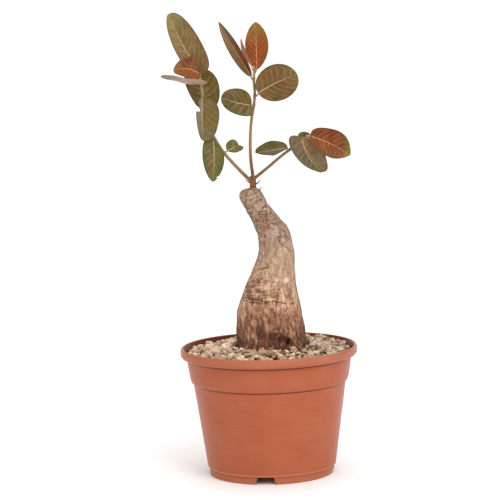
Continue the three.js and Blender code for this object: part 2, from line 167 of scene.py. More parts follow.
def path(points: Sequence[Point], count: int) -> Floats:
    """Spreads points along a smooth curve through the given ones, by length.

    The stops are spaced by the root of their distance, which keeps the curve from swinging out.

    Args:
        points: the points that the curve goes through, in mm.
        count: how many points to return.

    Returns:
        Points on the curve, (count, 3).
    """
    stops = np.array(points, dtype=float)
    lengths = np.sqrt(np.linalg.norm(np.diff(stops, axis=0), axis=1))
    keys = np.concatenate([[0.0], np.cumsum(lengths)])
    fine = spline(keys, stops, np.linspace(0.0, keys[-1], 400))
    run = np.concatenate([[0.0], np.cumsum(np.linalg.norm(np.diff(fine, axis=0), axis=1))])
    at = np.linspace(0.0, run[-1], count)
    return np.stack([np.interp(at, run, fine[:, k]) for k in range(3)], axis=-1)


def noise(points: Floats, size: float | Point, seed: int) -> Floats:
    """Smooth noise between -1 and 1: hashed values on a lattice, blended with smooth steps.

    Args:
        points: places, (..., 3), in mm.
        size: the lattice's cell, in mm, the same or one for each axis.
        seed: picks one field of noise.

    Returns:
        The noise, (...).
    """
    scaled = points / np.array(size, dtype=float)
    cell = np.floor(scaled).astype(np.int64)
    f = scaled - cell
    f = f * f * (3.0 - 2.0 * f)
    total = np.zeros(points.shape[:-1])
    for corner in range(8):
        shift = np.array([corner & 1, (corner >> 1) & 1, (corner >> 2) & 1])
        h = np.bitwise_xor.reduce((cell + shift) * np.array(HASH_PRIMES), axis=-1) ^ (seed * HASH_SEED)
        h = (h ^ (h >> 13)) * HASH_MIX
        h = (h ^ (h >> 16)) & 0xFFFF
        weight = np.prod(np.where(shift == 1, f, 1.0 - f), axis=-1)
        total += weight * (h / 32767.5 - 1.0)   # from 16 bits to -1 to 1
    return total


def fractal(points: Floats, size: float | Point, seed: int, octaves: int = 3) -> Floats:
    """Noise on noise: each octave has half the cell and half the strength of the one before.

    Args:
        points: places, (..., 3), in mm.
        size: the first cell, in mm.
        seed: picks one field of noise.
        octaves: how many layers are added.

    Returns:
        The summed noise, about -1 to 1.
    """
    cell = np.array(size, dtype=float) * np.ones(3)
    total = np.zeros(points.shape[:-1])
    for k in range(octaves):
        total += 0.5**k * noise(points, tuple(cell * 0.5**k), seed + 31 * k)
    # Three octaves reach 1.75 at most, and rarely pass 1.6.
    return total / 1.6


# ---------------- meshes


@dataclass
class MeshData:
    """Points in millimetres, the faces between them, and named values at the points."""

    points: Floats
    faces: list[Ints]
    values: dict[str, Floats] = field(default_factory=dict)

    def outward(self) -> "MeshData":
        """Turns the faces round if they enclose a negative volume, by the sum of a . (b x c) / 6.

        Returns:
            This mesh.
        """
        volume = 0.0
        for group in self.faces:
            corner = self.points[group]
            for k in range(1, group.shape[1] - 1):
                cross = np.cross(corner[:, k], corner[:, k + 1])
                volume += float(np.sum(corner[:, 0] * cross))
        if volume < 0:
            self.faces = [group[:, ::-1] for group in self.faces]
        return self


def join(parts: list[MeshData]) -> MeshData:
    """Puts several meshes in one, in order.

    Args:
        parts: meshes that carry the same named values.

    Returns:
        One mesh of all their points and faces.
    """
    offset = 0
    faces: list[Ints] = []
    for part in parts:
        faces += [group + offset for group in part.faces]
        offset += len(part.points)
    names = parts[0].values.keys()
    values = {name: np.concatenate([part.values[name] for part in parts]) for name in names}
    return MeshData(np.concatenate([part.points for part in parts]), faces, values)


def skin(grid: Floats, wrap_rows: bool = False, values: dict[str, Floats] | None = None) -> MeshData:
    """Closes a grid of rings into a body. Neighbouring rings are joined by quads.

    The first and last ring are closed by a fan of triangles to their middle, or joined to each
    other when wrap_rows is set.

    Args:
        grid: points, (rows, columns, 3); each row is a closed ring.
        wrap_rows: whether the last ring joins the first.
        values: named values on the grid, (rows, columns) or (rows, columns, 4).

    Returns:
        The closed body, faces outward.
    """
    rows, cols = grid.shape[:2]
    ids = np.arange(rows * cols).reshape(rows, cols)
    lower = ids if wrap_rows else ids[:-1]
    upper = np.roll(ids, -1, axis=0) if wrap_rows else ids[1:]
    quads = np.stack([lower, np.roll(lower, -1, 1), np.roll(upper, -1, 1), upper], axis=-1).reshape(-1, 4)
    points = grid.reshape(-1, 3)
    flat = {name: layer.reshape((rows * cols,) + layer.shape[2:]) for name, layer in (values or {}).items()}
    if wrap_rows:
        return MeshData(points, [quads], flat).outward()
    first, last = ids[0], ids[-1]
    start, end = rows * cols, rows * cols + 1
    fans = np.concatenate(
        [
            np.stack([np.full(cols, start), np.roll(first, -1), first], axis=-1),
            np.stack([np.full(cols, end), last, np.roll(last, -1)], axis=-1),
        ]
    )
    points = np.concatenate([points, grid[0].mean(0)[None], grid[-1].mean(0)[None]])
    for name, layer in flat.items():
        flat[name] = np.concatenate([layer, layer[first].mean(0)[None], layer[last].mean(0)[None]])
    return MeshData(points, [quads, fans], flat).outward()


def lathe(profile: Floats, sides: int, wrap_rows: bool = False) -> MeshData:
    """Turns a profile about the Z axis: (r, z) becomes (r cos a, r sin a, z).

    Args:
        profile: radii and heights, (n, 2), in mm.
        sides: steps round the axis.
        wrap_rows: whether the profile closes on itself.

    Returns:
        The turned body.
    """
    angle = np.arange(sides) * FULL_TURN / sides
    r, z = profile[:, 0, None], profile[:, 1, None]
    grid = np.stack([r * np.cos(angle), r * np.sin(angle), z + 0.0 * angle], axis=-1)
    return skin(grid, wrap_rows)


def rounded(corners: Sequence[Point], closed: bool, arc: int = 5) -> Floats:
    """Rounds a profile's corners: each becomes a quadratic arc that starts and ends at its fillet.

    Args:
        corners: radius, height and fillet of each corner, in mm.
        closed: whether the last corner joins the first.
        arc: points on each arc.

    Returns:
        The rounded profile, (n, 2).
    """
    place = np.array([corner[:2] for corner in corners])
    fillet = np.array([corner[2] for corner in corners])
    before = np.roll(place, 1, axis=0) - place
    after = np.roll(place, -1, axis=0) - place
    long_before = np.linalg.norm(before, axis=1)
    long_after = np.linalg.norm(after, axis=1)
    cut = np.minimum(fillet, 0.48 * np.minimum(long_before, long_after))
    if not closed:
        cut[[0, -1]] = 0.0
    enter = place + before / long_before[:, None] * cut[:, None]
    leave = place + after / long_after[:, None] * cut[:, None]
    t = np.linspace(0.0, 1.0, arc)[None, :, None]
    arcs = (1 - t) ** 2 * enter[:, None] + 2 * t * (1 - t) * place[:, None] + t**2 * leave[:, None]
    flat = arcs.reshape(-1, 2)
    keep = np.concatenate([[True], np.linalg.norm(np.diff(flat, axis=0), axis=1) > 1e-6])
    return flat[keep]


def rod(centre: Floats, radius: Floats, sides: int, reference: Point | Floats) -> Floats:
    """Carries a circle along a path: centre + radius * (cos a * side + sin a * other).

    Args:
        centre: the path, (n, 3).
        radius: the radius at each point, (n,).
        sides: points round the circle.
        reference: a direction that the path never runs along; it sets the circle's first spoke.

    Returns:
        A grid of rings, (n, sides, 3).
    """
    along = np.gradient(centre, axis=0)
    along /= np.linalg.norm(along, axis=1)[:, None]
    side = np.cross(along, np.array(reference, dtype=float))
    side /= np.linalg.norm(side, axis=1)[:, None]
    other = np.cross(along, side)
    angle = (np.arange(sides) * FULL_TURN / sides)[None, :, None]
    spokes = side[:, None] * np.cos(angle) + other[:, None] * np.sin(angle)
    return centre[:, None] + spokes * radius[:, None, None]


def quartered_icosahedron() -> tuple[Floats, Ints, Ints]:
    """The icosahedron's corners, its edges, and its faces each cut in four at the edges' middles.

    Returns:
        Corners (12, 3); edges as pairs of corners (30, 2); triangles (80, 3), in which numbers
        from 12 up stand for the edges' middles.
    """
    golden = (1.0 + math.sqrt(5.0)) / 2.0
    cyclic = np.array([(0.0, a, b * golden) for a in (-1, 1) for b in (-1, 1)])
    corners = np.concatenate([np.roll(cyclic, k, axis=1) for k in range(3)]) / math.sqrt(1.0 + golden**2)
    # Neighbouring corners lie 1.05 apart, the others 1.7 or more.
    gap = np.linalg.norm(corners[:, None] - corners[None], axis=-1)
    near = (gap > 0.1) & (gap < 1.2)
    first, second, third = np.nonzero(near[:, :, None] & near[None] & near[:, None, :])
    ordered = (first < second) & (second < third)
    faces = np.stack([first[ordered], second[ordered], third[ordered]], axis=-1)
    a, b, c = (corners[faces[:, k]] for k in range(3))
    inward = np.sum(np.cross(b - a, c - a) * a, axis=-1) < 0
    faces[inward] = faces[inward][:, ::-1]
    sides = np.sort(np.stack([faces, np.roll(faces, -1, axis=1)], axis=-1), axis=-1)
    edges, which = np.unique(sides.reshape(-1, 2), axis=0, return_inverse=True)
    middle = which.reshape(-1, 3) + len(corners)
    corner_cuts = [np.stack([faces[:, k], middle[:, k], middle[:, k - 1]], axis=-1) for k in range(3)]
    return corners, edges, np.concatenate([*corner_cuts, middle])


def make_object(
    name: str, data: MeshData, material: bpy.types.Material, smooth: bool = True
) -> bpy.types.Object:
    """Makes a Blender object of a mesh, in metres, at the origin.

    Args:
        name: the piece's name.
        data: its points, faces and values.
        material: its finish.
        smooth: whether the faces are shaded smooth.

    Returns:
        The new object, linked into the scene.
    """
    loops = np.concatenate([group.ravel() for group in data.faces])
    sizes = np.concatenate([np.full(len(group), group.shape[1]) for group in data.faces])
    starts = np.concatenate([[0], np.cumsum(sizes)[:-1]])
    mesh = bpy.data.meshes.new(name)
    mesh.vertices.add(len(data.points))
    mesh.vertices.foreach_set("co", (data.points * MM).astype(np.float32).ravel())
    mesh.loops.add(len(loops))
    mesh.loops.foreach_set("vertex_index", loops.astype(np.int32))
    mesh.polygons.add(len(sizes))
    mesh.polygons.foreach_set("loop_start", starts.astype(np.int32))
    mesh.polygons.foreach_set("use_smooth", np.full(len(sizes), smooth))
    for key, values in data.values.items():
        kind, slot = ("FLOAT", "value") if values.ndim == 1 else ("FLOAT_COLOR", "color")
        layer = mesh.attributes.new(key, kind, "POINT")
        layer.data.foreach_set(slot, values.astype(np.float32).ravel())
    mesh.update(calc_edges=True)
    mesh.materials.append(material)
    piece = bpy.data.objects.new(name, mesh)
    bpy.context.scene.collection.objects.link(piece)
    return piece


def settle(piece: bpy.types.Object, nodes: tuple[str, ...]) -> None:
    """Lets a finished piece ride on the body and the solids it stands for.

    Args:
        piece: the finished object.
        nodes: the solids it replaces.
    """
    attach(piece, BODY)
    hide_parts(*nodes)
    triangles = sum(len(face.vertices) - 2 for face in piece.data.polygons)
    log.info("%s: %d triangles, stands for %s", piece.name, triangles, ", ".join(nodes))


# ---------------- finishes


def add_node(
    tree: bpy.types.NodeTree,
    kind: str,
    settings: dict[str, Any] | None = None,
    inputs: dict[str | int, Any] | None = None,
) -> bpy.types.Node:
    """Adds one node with its settings, values and links.

    Where an input has no name of its own it goes by number: a Map Range takes the value as 0, the
    range that it comes from as 1 and 2 and the range that it goes to as 3 and 4; a Mix of colours
    takes the share as 0 and the colours as 6 and 7, and gives its result as output 2.

    Args:
        tree: the material's node tree.
        kind: the node's type name.
        settings: properties to set on the node.
        inputs: for each input, by name or number, a value or the socket that feeds it.

    Returns:
        The new node.
    """
    node = tree.nodes.new(kind)
    for key, value in (settings or {}).items():
        setattr(node, key, value)
    for key, value in (inputs or {}).items():
        if isinstance(value, Socket):
            tree.links.new(value, node.inputs[key])
        else:
            node.inputs[key].default_value = value
    return node


def per_mm(size: float) -> float:
    """Scale of a texture on Object coordinates, in metres, whose cell measures size in mm."""
    return 1.0 / (size * MM)


def new_material(name: str) -> tuple[bpy.types.Material, bpy.types.NodeTree, bpy.types.Node]:
    """Starts a material.

    Args:
        name: the material's name.

    Returns:
        The material, its node tree and its Principled shader.
    """
    material = bpy.data.materials.new(name)
    material.use_nodes = True
    tree = material.node_tree
    return material, tree, tree.nodes["Principled BSDF"]


def shaded(tree: bpy.types.NodeTree, attribute: str, pattern: Socket, spread: tuple[float, ...]) -> Socket:
    """A piece's own colour times a brightness that follows a pattern.

    Args:
        tree: the material's node tree.
        attribute: the attribute that holds the piece's colour.
        pattern: the field that sets the brightness.
        spread: the pattern's low and high value, and the brightness at each.

    Returns:
        The shaded colour.
    """
    own = add_node(tree, "ShaderNodeAttribute", {"attribute_name": attribute})
    bright = add_node(tree, "ShaderNodeMapRange", inputs={0: pattern, **dict(enumerate(spread, 1))})
    product = add_node(
        tree,
        "ShaderNodeMix",
        {"data_type": "RGBA", "blend_type": "MULTIPLY"},
        {0: 1.0, 6: own.outputs["Color"], 7: bright.outputs[0]},
    )
    return product.outputs[2]


def finish_surface(
    tree: bpy.types.NodeTree,
    shader: bpy.types.Node,
    colour: Socket,
    relief: tuple[Socket, float, float],
    gloss: tuple[float, float],
) -> None:
    """Gives a shader its colour, its bump and its gloss.

    Args:
        tree: the material's node tree.
        shader: the Principled shader.
        colour: the base colour.
        relief: the height field, how strongly it shows, and its depth in mm.
        gloss: roughness and specular level.
    """
    height, strength, depth = relief
    bump = add_node(
        tree, "ShaderNodeBump", inputs={"Strength": strength, "Distance": depth * MM, "Height": height}
    )
    tree.links.new(colour, shader.inputs["Base Color"])
    tree.links.new(bump.outputs[0], shader.inputs["Normal"])
    shader.inputs["Roughness"].default_value, shader.inputs["Specular IOR Level"].default_value = gloss


@dataclass(frozen=True)
class Band:
    """A level band of colour round the pot, strongest at its height: all sizes in mm."""

    height: float
    half_width: float
    share: float
    colour: str

    def strength(self, tree: bpy.types.NodeTree, height: Socket) -> Socket:
        """The band's share at its height, with a smooth fall to 0 half a width away.

        Args:
            tree: the material's node tree.
            height: the height of the place, in metres.

        Returns:
            The share of the band's colour.
        """
        away = add_node(tree, "ShaderNodeMath", {"operation": "SUBTRACT"}, {0: height, 1: self.height * MM})
        size = add_node(tree, "ShaderNodeMath", {"operation": "ABSOLUTE"}, {0: away.outputs[0]})
        fall = add_node(
            tree,
            "ShaderNodeMapRange",
            {"interpolation_type": "SMOOTHSTEP"},
            {0: size.outputs[0], 1: 0.0, 2: self.half_width * MM, 3: self.share, 4: 0.0},
        )
        return fall.outputs[0]


@dataclass(frozen=True)
class MouldedPolypropylene:
    """Injection-moulded polypropylene: even terracotta colour, satin skin, faint level flow lines."""

    colour: str = "#a55538"
    worn: str = "#ac6042"
    # Colour of the painted shade on the inside of the wall.
    painted_inner_shade: str = "#592412"
    bands: tuple[Band, ...] = (
        # Painted shade in the corners under the rim and under the collar.
        Band(112.9, 1.5, 0.95, "#592412"),
        Band(89.3, 1.3, 0.95, "#592412"),
        # Painted highlight: the thin pale line along the ledge above the foot, where it catches the light.
        Band(8.3, 1.1, 0.7, "#d58a66"),
        # Grey bloom of dust and scuffs on the rim and the foot, which are handled most; on the rim it is also
        # a painted sheen.
        Band(119.5, 8.0, 0.16, "#ae8c78"),
        Band(1.0, 8.0, 0.16, "#ae8c78"),
    )
    roughness: tuple[float, float] = (0.31, 0.46)
    ior: float = 1.5
    specular: float = 0.15
    line_mm: float = 2.2       # spacing of the flow lines, drawn coarser than life so that they show
    stretch: float = 14.0      # how many times longer than high a flow line is
    line_depth: float = 0.2
    patch_mm: float = 26.0     # size of the paler rubbed patches

    def material(self) -> bpy.types.Material:
        """Base colour with rubbed patches and streaks, level bands, painted shade inside the wall and fine
        level lines.

        Returns:
            The material.
        """
        material, tree, shader = new_material("moulded_polypropylene")
        place = add_node(tree, "ShaderNodeTexCoord").outputs["Object"]
        height = add_node(tree, "ShaderNodeSeparateXYZ", inputs={0: place}).outputs["Z"]
        # The stain attribute holds the painted shade on the inside of the wall.
        stain = add_node(tree, "ShaderNodeAttribute", {"attribute_name": "stain"}).outputs["Fac"]
        pressed = {"Vector": place, "Scale": (1.0, 1.0, self.stretch)}
        flat = add_node(tree, "ShaderNodeMapping", inputs=pressed).outputs[0]
        streak = add_node(
            tree,
            "ShaderNodeTexNoise",
            inputs={"Vector": flat, "Scale": per_mm(self.line_mm * self.stretch), "Detail": 4.0},
        ).outputs["Fac"]
        patch = add_node(
            tree,
            "ShaderNodeTexNoise",
            inputs={"Vector": place, "Scale": per_mm(self.patch_mm), "Detail": 4.0},
        ).outputs["Fac"]
        rubbed = add_node(tree, "ShaderNodeMapRange", inputs={0: patch, 1: 0.4, 2: 0.7, 3: 0.0, 4: 0.6})
        streaked = add_node(tree, "ShaderNodeMapRange", inputs={0: streak, 1: 0.35, 2: 0.65, 3: 0.0, 4: 0.3})
        wear = add_node(
            tree, "ShaderNodeMath", {"operation": "ADD"}, {0: rubbed.outputs[0], 1: streaked.outputs[0]}
        ).outputs[0]
        tint: Socket | Colour = linear(self.colour)
        layers = [(wear, self.worn), *((band.strength(tree, height), band.colour) for band in self.bands)]
        for share, colour in [*layers, (stain, self.painted_inner_shade)]:
            inputs = {0: share, 6: tint, 7: linear(colour)}
            tint = add_node(tree, "ShaderNodeMix", {"data_type": "RGBA"}, inputs).outputs[2]
        dull, sleek = self.roughness
        finish_surface(tree, shader, tint, (streak, 0.35, self.line_depth), (dull, self.specular))
        gloss = add_node(tree, "ShaderNodeMapRange", inputs={0: patch, 1: 0.3, 2: 0.8, 3: dull, 4: sleek})
        tree.links.new(gloss.outputs[0], shader.inputs["Roughness"])
        shader.inputs["IOR"].default_value = self.ior
        return material


@dataclass(frozen=True)
class Pumice:
    """Broken pumice: matt cream to tan grains full of small pores."""

    pore_mm: float = 0.9
    pore_depth: float = 0.5
    mottle_mm: float = 2.2
    gloss: tuple[float, float] = (0.95, 0.2)

    def material(self) -> bpy.types.Material:
        """Grain colour from its attribute, darker mottling, pores as bump.

        Returns:
            The material.
        """
        material, tree, shader = new_material("broken_pumice")
        place = add_node(tree, "ShaderNodeTexCoord").outputs["Object"]
        mottle = add_node(
            tree,
            "ShaderNodeTexNoise",
            inputs={"Vector": place, "Scale": per_mm(self.mottle_mm), "Detail": 5.0},
        ).outputs["Fac"]
        pores = add_node(
            tree, "ShaderNodeTexVoronoi", inputs={"Vector": place, "Scale": per_mm(self.pore_mm)}
        ).outputs["Distance"]
        tint = shaded(tree, "grain_colour", mottle, (0.3, 0.72, 0.64, 1.23))
        finish_surface(tree, shader, tint, (pores, 0.6, self.pore_depth), self.gloss)
        return material


@dataclass(frozen=True)
class LooseSoil:
    """Dark, damp soil mix: near-black brown crumbs with no gloss."""

    colour: str = "#3b2c20"
    hollow: str = "#241a12"
    crumb_mm: float = 3.0
    crumb_depth: float = 1.0
    gloss: tuple[float, float] = (1.0, 0.5)

    def material(self) -> bpy.types.Material:
        """Crumbs as brightness and bump.

        Returns:
            The material.
        """
        material, tree, shader = new_material("loose_soil")
        place = add_node(tree, "ShaderNodeTexCoord").outputs["Object"]
        crumb = add_node(
            tree,
            "ShaderNodeTexNoise",
            inputs={"Vector": place, "Scale": per_mm(self.crumb_mm), "Detail": 6.0},
        ).outputs["Fac"]
        shades = {0: crumb, 6: linear(self.hollow), 7: linear(self.colour)}
        tint = add_node(tree, "ShaderNodeMix", {"data_type": "RGBA"}, shades).outputs[2]
        finish_surface(tree, shader, tint, (crumb, 0.8, self.crumb_depth), self.gloss)
        return material


@dataclass(frozen=True)
class Bark:
    """Dry bark or young skin: matt, with a fine grain that runs along the stem."""

    name: str
    attribute: str
    grain_mm: float = 1.1      # width of the fine fibres
    stretch: float = 0.22      # length of a fibre is grain_mm / stretch
    contrast: float = 0.5
    gloss: tuple[float, float] = (0.86, 0.3)
    relief_mm: float = 0.5

    def material(self) -> bpy.types.Material:
        """Colour from the piece's attribute times a fine stretched grain, which is also the bump.

        Returns:
            The material.
        """
        material, tree, shader = new_material(self.name)
        place = add_node(tree, "ShaderNodeTexCoord").outputs["Object"]
        drawn_out = {"Vector": place, "Scale": (1.0, 1.0, self.stretch)}
        long = add_node(tree, "ShaderNodeMapping", inputs=drawn_out)
        fibre_scale = per_mm(self.grain_mm * 2.0)   # a cell of noise holds two fibres
        fibre = add_node(
            tree,
            "ShaderNodeTexNoise",
            inputs={"Vector": long.outputs[0], "Scale": fibre_scale, "Detail": 6.0, "Roughness": 0.65},
        )
        crumb = add_node(
            tree,
            "ShaderNodeTexNoise",
            inputs={"Vector": place, "Scale": per_mm(self.grain_mm * 1.6), "Detail": 4.0},
        )
        grain = add_node(
            tree,
            "ShaderNodeMath",
            {"operation": "MULTIPLY_ADD"},
            {0: crumb.outputs["Fac"], 1: 0.6, 2: fibre.outputs["Fac"]},
        ).outputs[0]
        spread = (0.6, 1.0, 1.0 - self.contrast, 1.0 + self.contrast * 0.6)
        tint = shaded(tree, self.attribute, grain, spread)
        finish_surface(tree, shader, tint, (grain, 0.7, self.relief_mm), self.gloss)
        return material


@dataclass(frozen=True)
class LeafSkin:
    """Waxy leaf blade: satin, with pale side veins sunk in the upper face."""

    name: str
    vein: str
    gloss: tuple[float, float] = (0.5, 0.2)
    mottle_mm: float = 2.4
    vein_edges: tuple[float, float] = (0.012, 0.066)   # where a vein starts and ends to fade, in gaps
    vein_depth: float = 0.25

    def material(self) -> bpy.types.Material:
        """Blade colour with fine mottling; a vein wherever the mesh's vein phase is a whole number.

        Returns:
            The material.
        """
        material, tree, shader = new_material(self.name)
        place = add_node(tree, "ShaderNodeTexCoord").outputs["Object"]
        phase = add_node(tree, "ShaderNodeAttribute", {"attribute_name": "vein_phase"}).outputs["Fac"]
        shown = add_node(tree, "ShaderNodeAttribute", {"attribute_name": "vein_strength"}).outputs["Fac"]
        away = add_node(tree, "ShaderNodeMath", {"operation": "PINGPONG"}, {0: phase, 1: 0.5})
        near, far = self.vein_edges
        line = add_node(
            tree,
            "ShaderNodeMapRange",
            {"interpolation_type": "SMOOTHSTEP"},
            {0: away.outputs[0], 1: near, 2: far, 3: 1.0, 4: 0.0},
        )
        vein = add_node(
            tree, "ShaderNodeMath", {"operation": "MULTIPLY"}, {0: line.outputs[0], 1: shown}
        ).outputs[0]
        mottle = add_node(
            tree,
            "ShaderNodeTexNoise",
            inputs={"Vector": place, "Scale": per_mm(self.mottle_mm), "Detail": 5.0},
        ).outputs["Fac"]
        blade = shaded(tree, "blade_colour", mottle, (0.3, 0.7, 0.78, 1.18))
        layers = {0: vein, 6: blade, 7: linear(self.vein)}
        tint = add_node(tree, "ShaderNodeMix", {"data_type": "RGBA"}, layers).outputs[2]
        sunk = {0: vein, 1: -1.0, 2: mottle}
        relief = add_node(tree, "ShaderNodeMath", {"operation": "MULTIPLY_ADD"}, sunk).outputs[0]
        finish_surface(tree, shader, tint, (relief, 0.5, self.vein_depth), self.gloss)
        return material


# ---------------- pot and filling


@dataclass
class NurseryPot:
    """The moulded pot: rolled rim, collar, tapering wall, raised floor and notched foot ring.

    All sizes are in mm. outline and hub_outline hold the radius, the height and the fillet of each
    corner of a turned section; notch widths are measured at the ring's top and at the table.
    """

    sides: int = 192
    hub_sides: int = 96
    outline: tuple[Point, ...] = (
        (50.0, 8.2, 0.0), (58.0, 8.2, 0.3), (58.0, 6.8, 0.1), (60.2, 6.8, 0.2), (60.4, 7.2, 0.2),
        (61.8, 7.9, 0.9), (73.3, 88.6, 0.5), (75.0, 90.0, 1.6), (76.2, 92.8, 1.6), (79.2, 111.8, 0.8),
        (79.6, 113.2, 0.9), (83.6, 114.0, 1.3), (85.0, 116.4, 1.8), (84.95, 121.0, 1.8),
        (83.6, 123.0, 1.1), (82.0, 122.5, 1.0), (80.4, 119.0, 2.0), (77.6, 112.3, 1.5),
        (74.5, 93.8, 1.5), (71.7, 88.8, 1.5), (60.4, 12.2, 1.5), (58.9, 10.0, 1.0), (50.0, 10.0, 0.0),
    )
    hub_outline: tuple[Point, ...] = (
        (0.01, 0.0, 0.0), (12.0, 0.0, 0.8), (15.5, 8.2, 1.2), (30.05, 8.2, 0.0),
        (30.05, 10.0, 0.0), (14.6, 10.0, 1.2), (11.2, 1.8, 0.8), (0.01, 1.8, 0.0),
    )
    floor_rings: tuple[float, float] = (30.0, 50.0)
    floor_levels: tuple[float, float] = (8.2, 10.0)
    lap: float = 0.05          # how far the drained tiles reach into the wall's part of the floor
    drains: int = 8
    drain_radius: float = 4.5
    drain_circle: float = 40.0
    drain_sides: int = 64
    foot_outline: tuple[Point, ...] = (
        (57.8, 7.4, 0.1), (57.8, 0.0, 0.4), (59.9, 0.0, 0.4), (60.2, 7.4, 0.1),
    )
    foot_radius: float = 59.9
    foot_height: float = 6.8
    notches: int = 4
    notch_turn: float = math.radians(-96.3)
    notch_top: float = 15.5
    # Height from which the inside of the wall gets painted shade.
    notch_foot: float = 19.5
    painted_shade_from: float = 113.0
    crease_angle: float = math.radians(38.0)
    finish: MouldedPolypropylene = MouldedPolypropylene()

    def drained_floor(self) -> list[MeshData]:
        """One tile of floor round each drain hole: a ring from the hole's edge to the tile's edge.

        A tile spans an equal share of the turn between the two floor rings. Its edge is where a
        ray from the hole's middle leaves that share.

        Returns:
            The tiles.
        """
        under, top = self.floor_levels
        inner, outer = self.floor_rings
        ray = np.arange(self.drain_sides) * FULL_TURN / self.drain_sides
        reach_r = np.where(np.cos(ray) > 0, outer + self.lap - self.drain_circle, self.drain_circle - inner)
        reach_a = math.pi / self.drains * self.drain_circle
        edge = 1.0 / np.maximum(np.abs(np.cos(ray)) / reach_r, np.abs(np.sin(ray)) / reach_a)
        hole = np.full_like(ray, self.drain_radius)
        tiles = []
        for k in range(self.drains):
            middle = FULL_TURN * (k + 0.5) / self.drains
            loop = []
            for reach, level in ((hole, under), (hole, top), (edge, top), (edge, under)):
                r = self.drain_circle + reach * np.cos(ray)
                a = middle + reach * np.sin(ray) / self.drain_circle
                loop.append(np.stack([r * np.cos(a), r * np.sin(a), np.full_like(r, level)], axis=-1))
            tiles.append(skin(np.stack(loop), wrap_rows=True))
        return tiles

    def foot(self) -> list[MeshData]:
        """The foot ring between neighbouring notches: a section carried round, its ends sloped.

        The half width of a notch falls in a straight line from its foot to its top, so the turn at
        which a piece of ring starts depends on height. The first and last sections are drawn in a
        little, which rounds the edge of the notch.

        Returns:
            The pieces of the ring.
        """
        section = rounded(self.foot_outline, closed=True, arc=4)
        middle = section.mean(0)
        step_turn = FULL_TURN / self.notches
        share = np.concatenate([[0.0, 0.006], np.linspace(0.02, 0.98, 22), [0.994, 1.0]])
        squeeze = np.where((share == 0.0) | (share == 1.0), 0.8, 1.0)[:, None]
        r = middle[0] + (section[:, 0] - middle[0]) * squeeze
        z = middle[1] + (section[:, 1] - middle[1]) * (0.5 + 0.5 * squeeze)
        low, high = self.notch_foot / 2 / self.foot_radius, self.notch_top / 2 / self.foot_radius
        half = low + (high - low) * z / self.foot_height
        pieces = []
        for k in range(self.notches):
            start = self.notch_turn + k * step_turn
            a = start + half + (step_turn - 2 * half) * share[:, None]
            pieces.append(skin(np.stack([r * np.cos(a), r * np.sin(a), z], axis=-1)))
        return pieces

    def build(self) -> None:
        """Makes the pot: wall, hub of the floor with its dimple, drained floor and foot ring."""
        wall = lathe(rounded(self.outline, closed=False), self.sides, wrap_rows=True)
        hub = lathe(rounded(self.hub_outline, closed=False), self.hub_sides)
        data = join([wall, hub, *self.drained_floor(), *self.foot()])
        # Painted shade, kept in the stain attribute: the inside of the wall is darkened above the dressing,
        # more so at the back.
        inside = step(np.hypot(data.points[:, 0], data.points[:, 1]), 82.6, 82.0)
        behind = step(data.points[:, 1], -20.0, 50.0)
        above = step(data.points[:, 2], self.painted_shade_from, self.painted_shade_from + 1.5)
        data.values["stain"] = (0.7 + 0.2 * behind) * inside * above
        piece = make_object("nursery_pot", data, self.finish.material())
        piece.data.set_sharp_from_angle(angle=self.crease_angle)
        settle(piece, ("pot",))


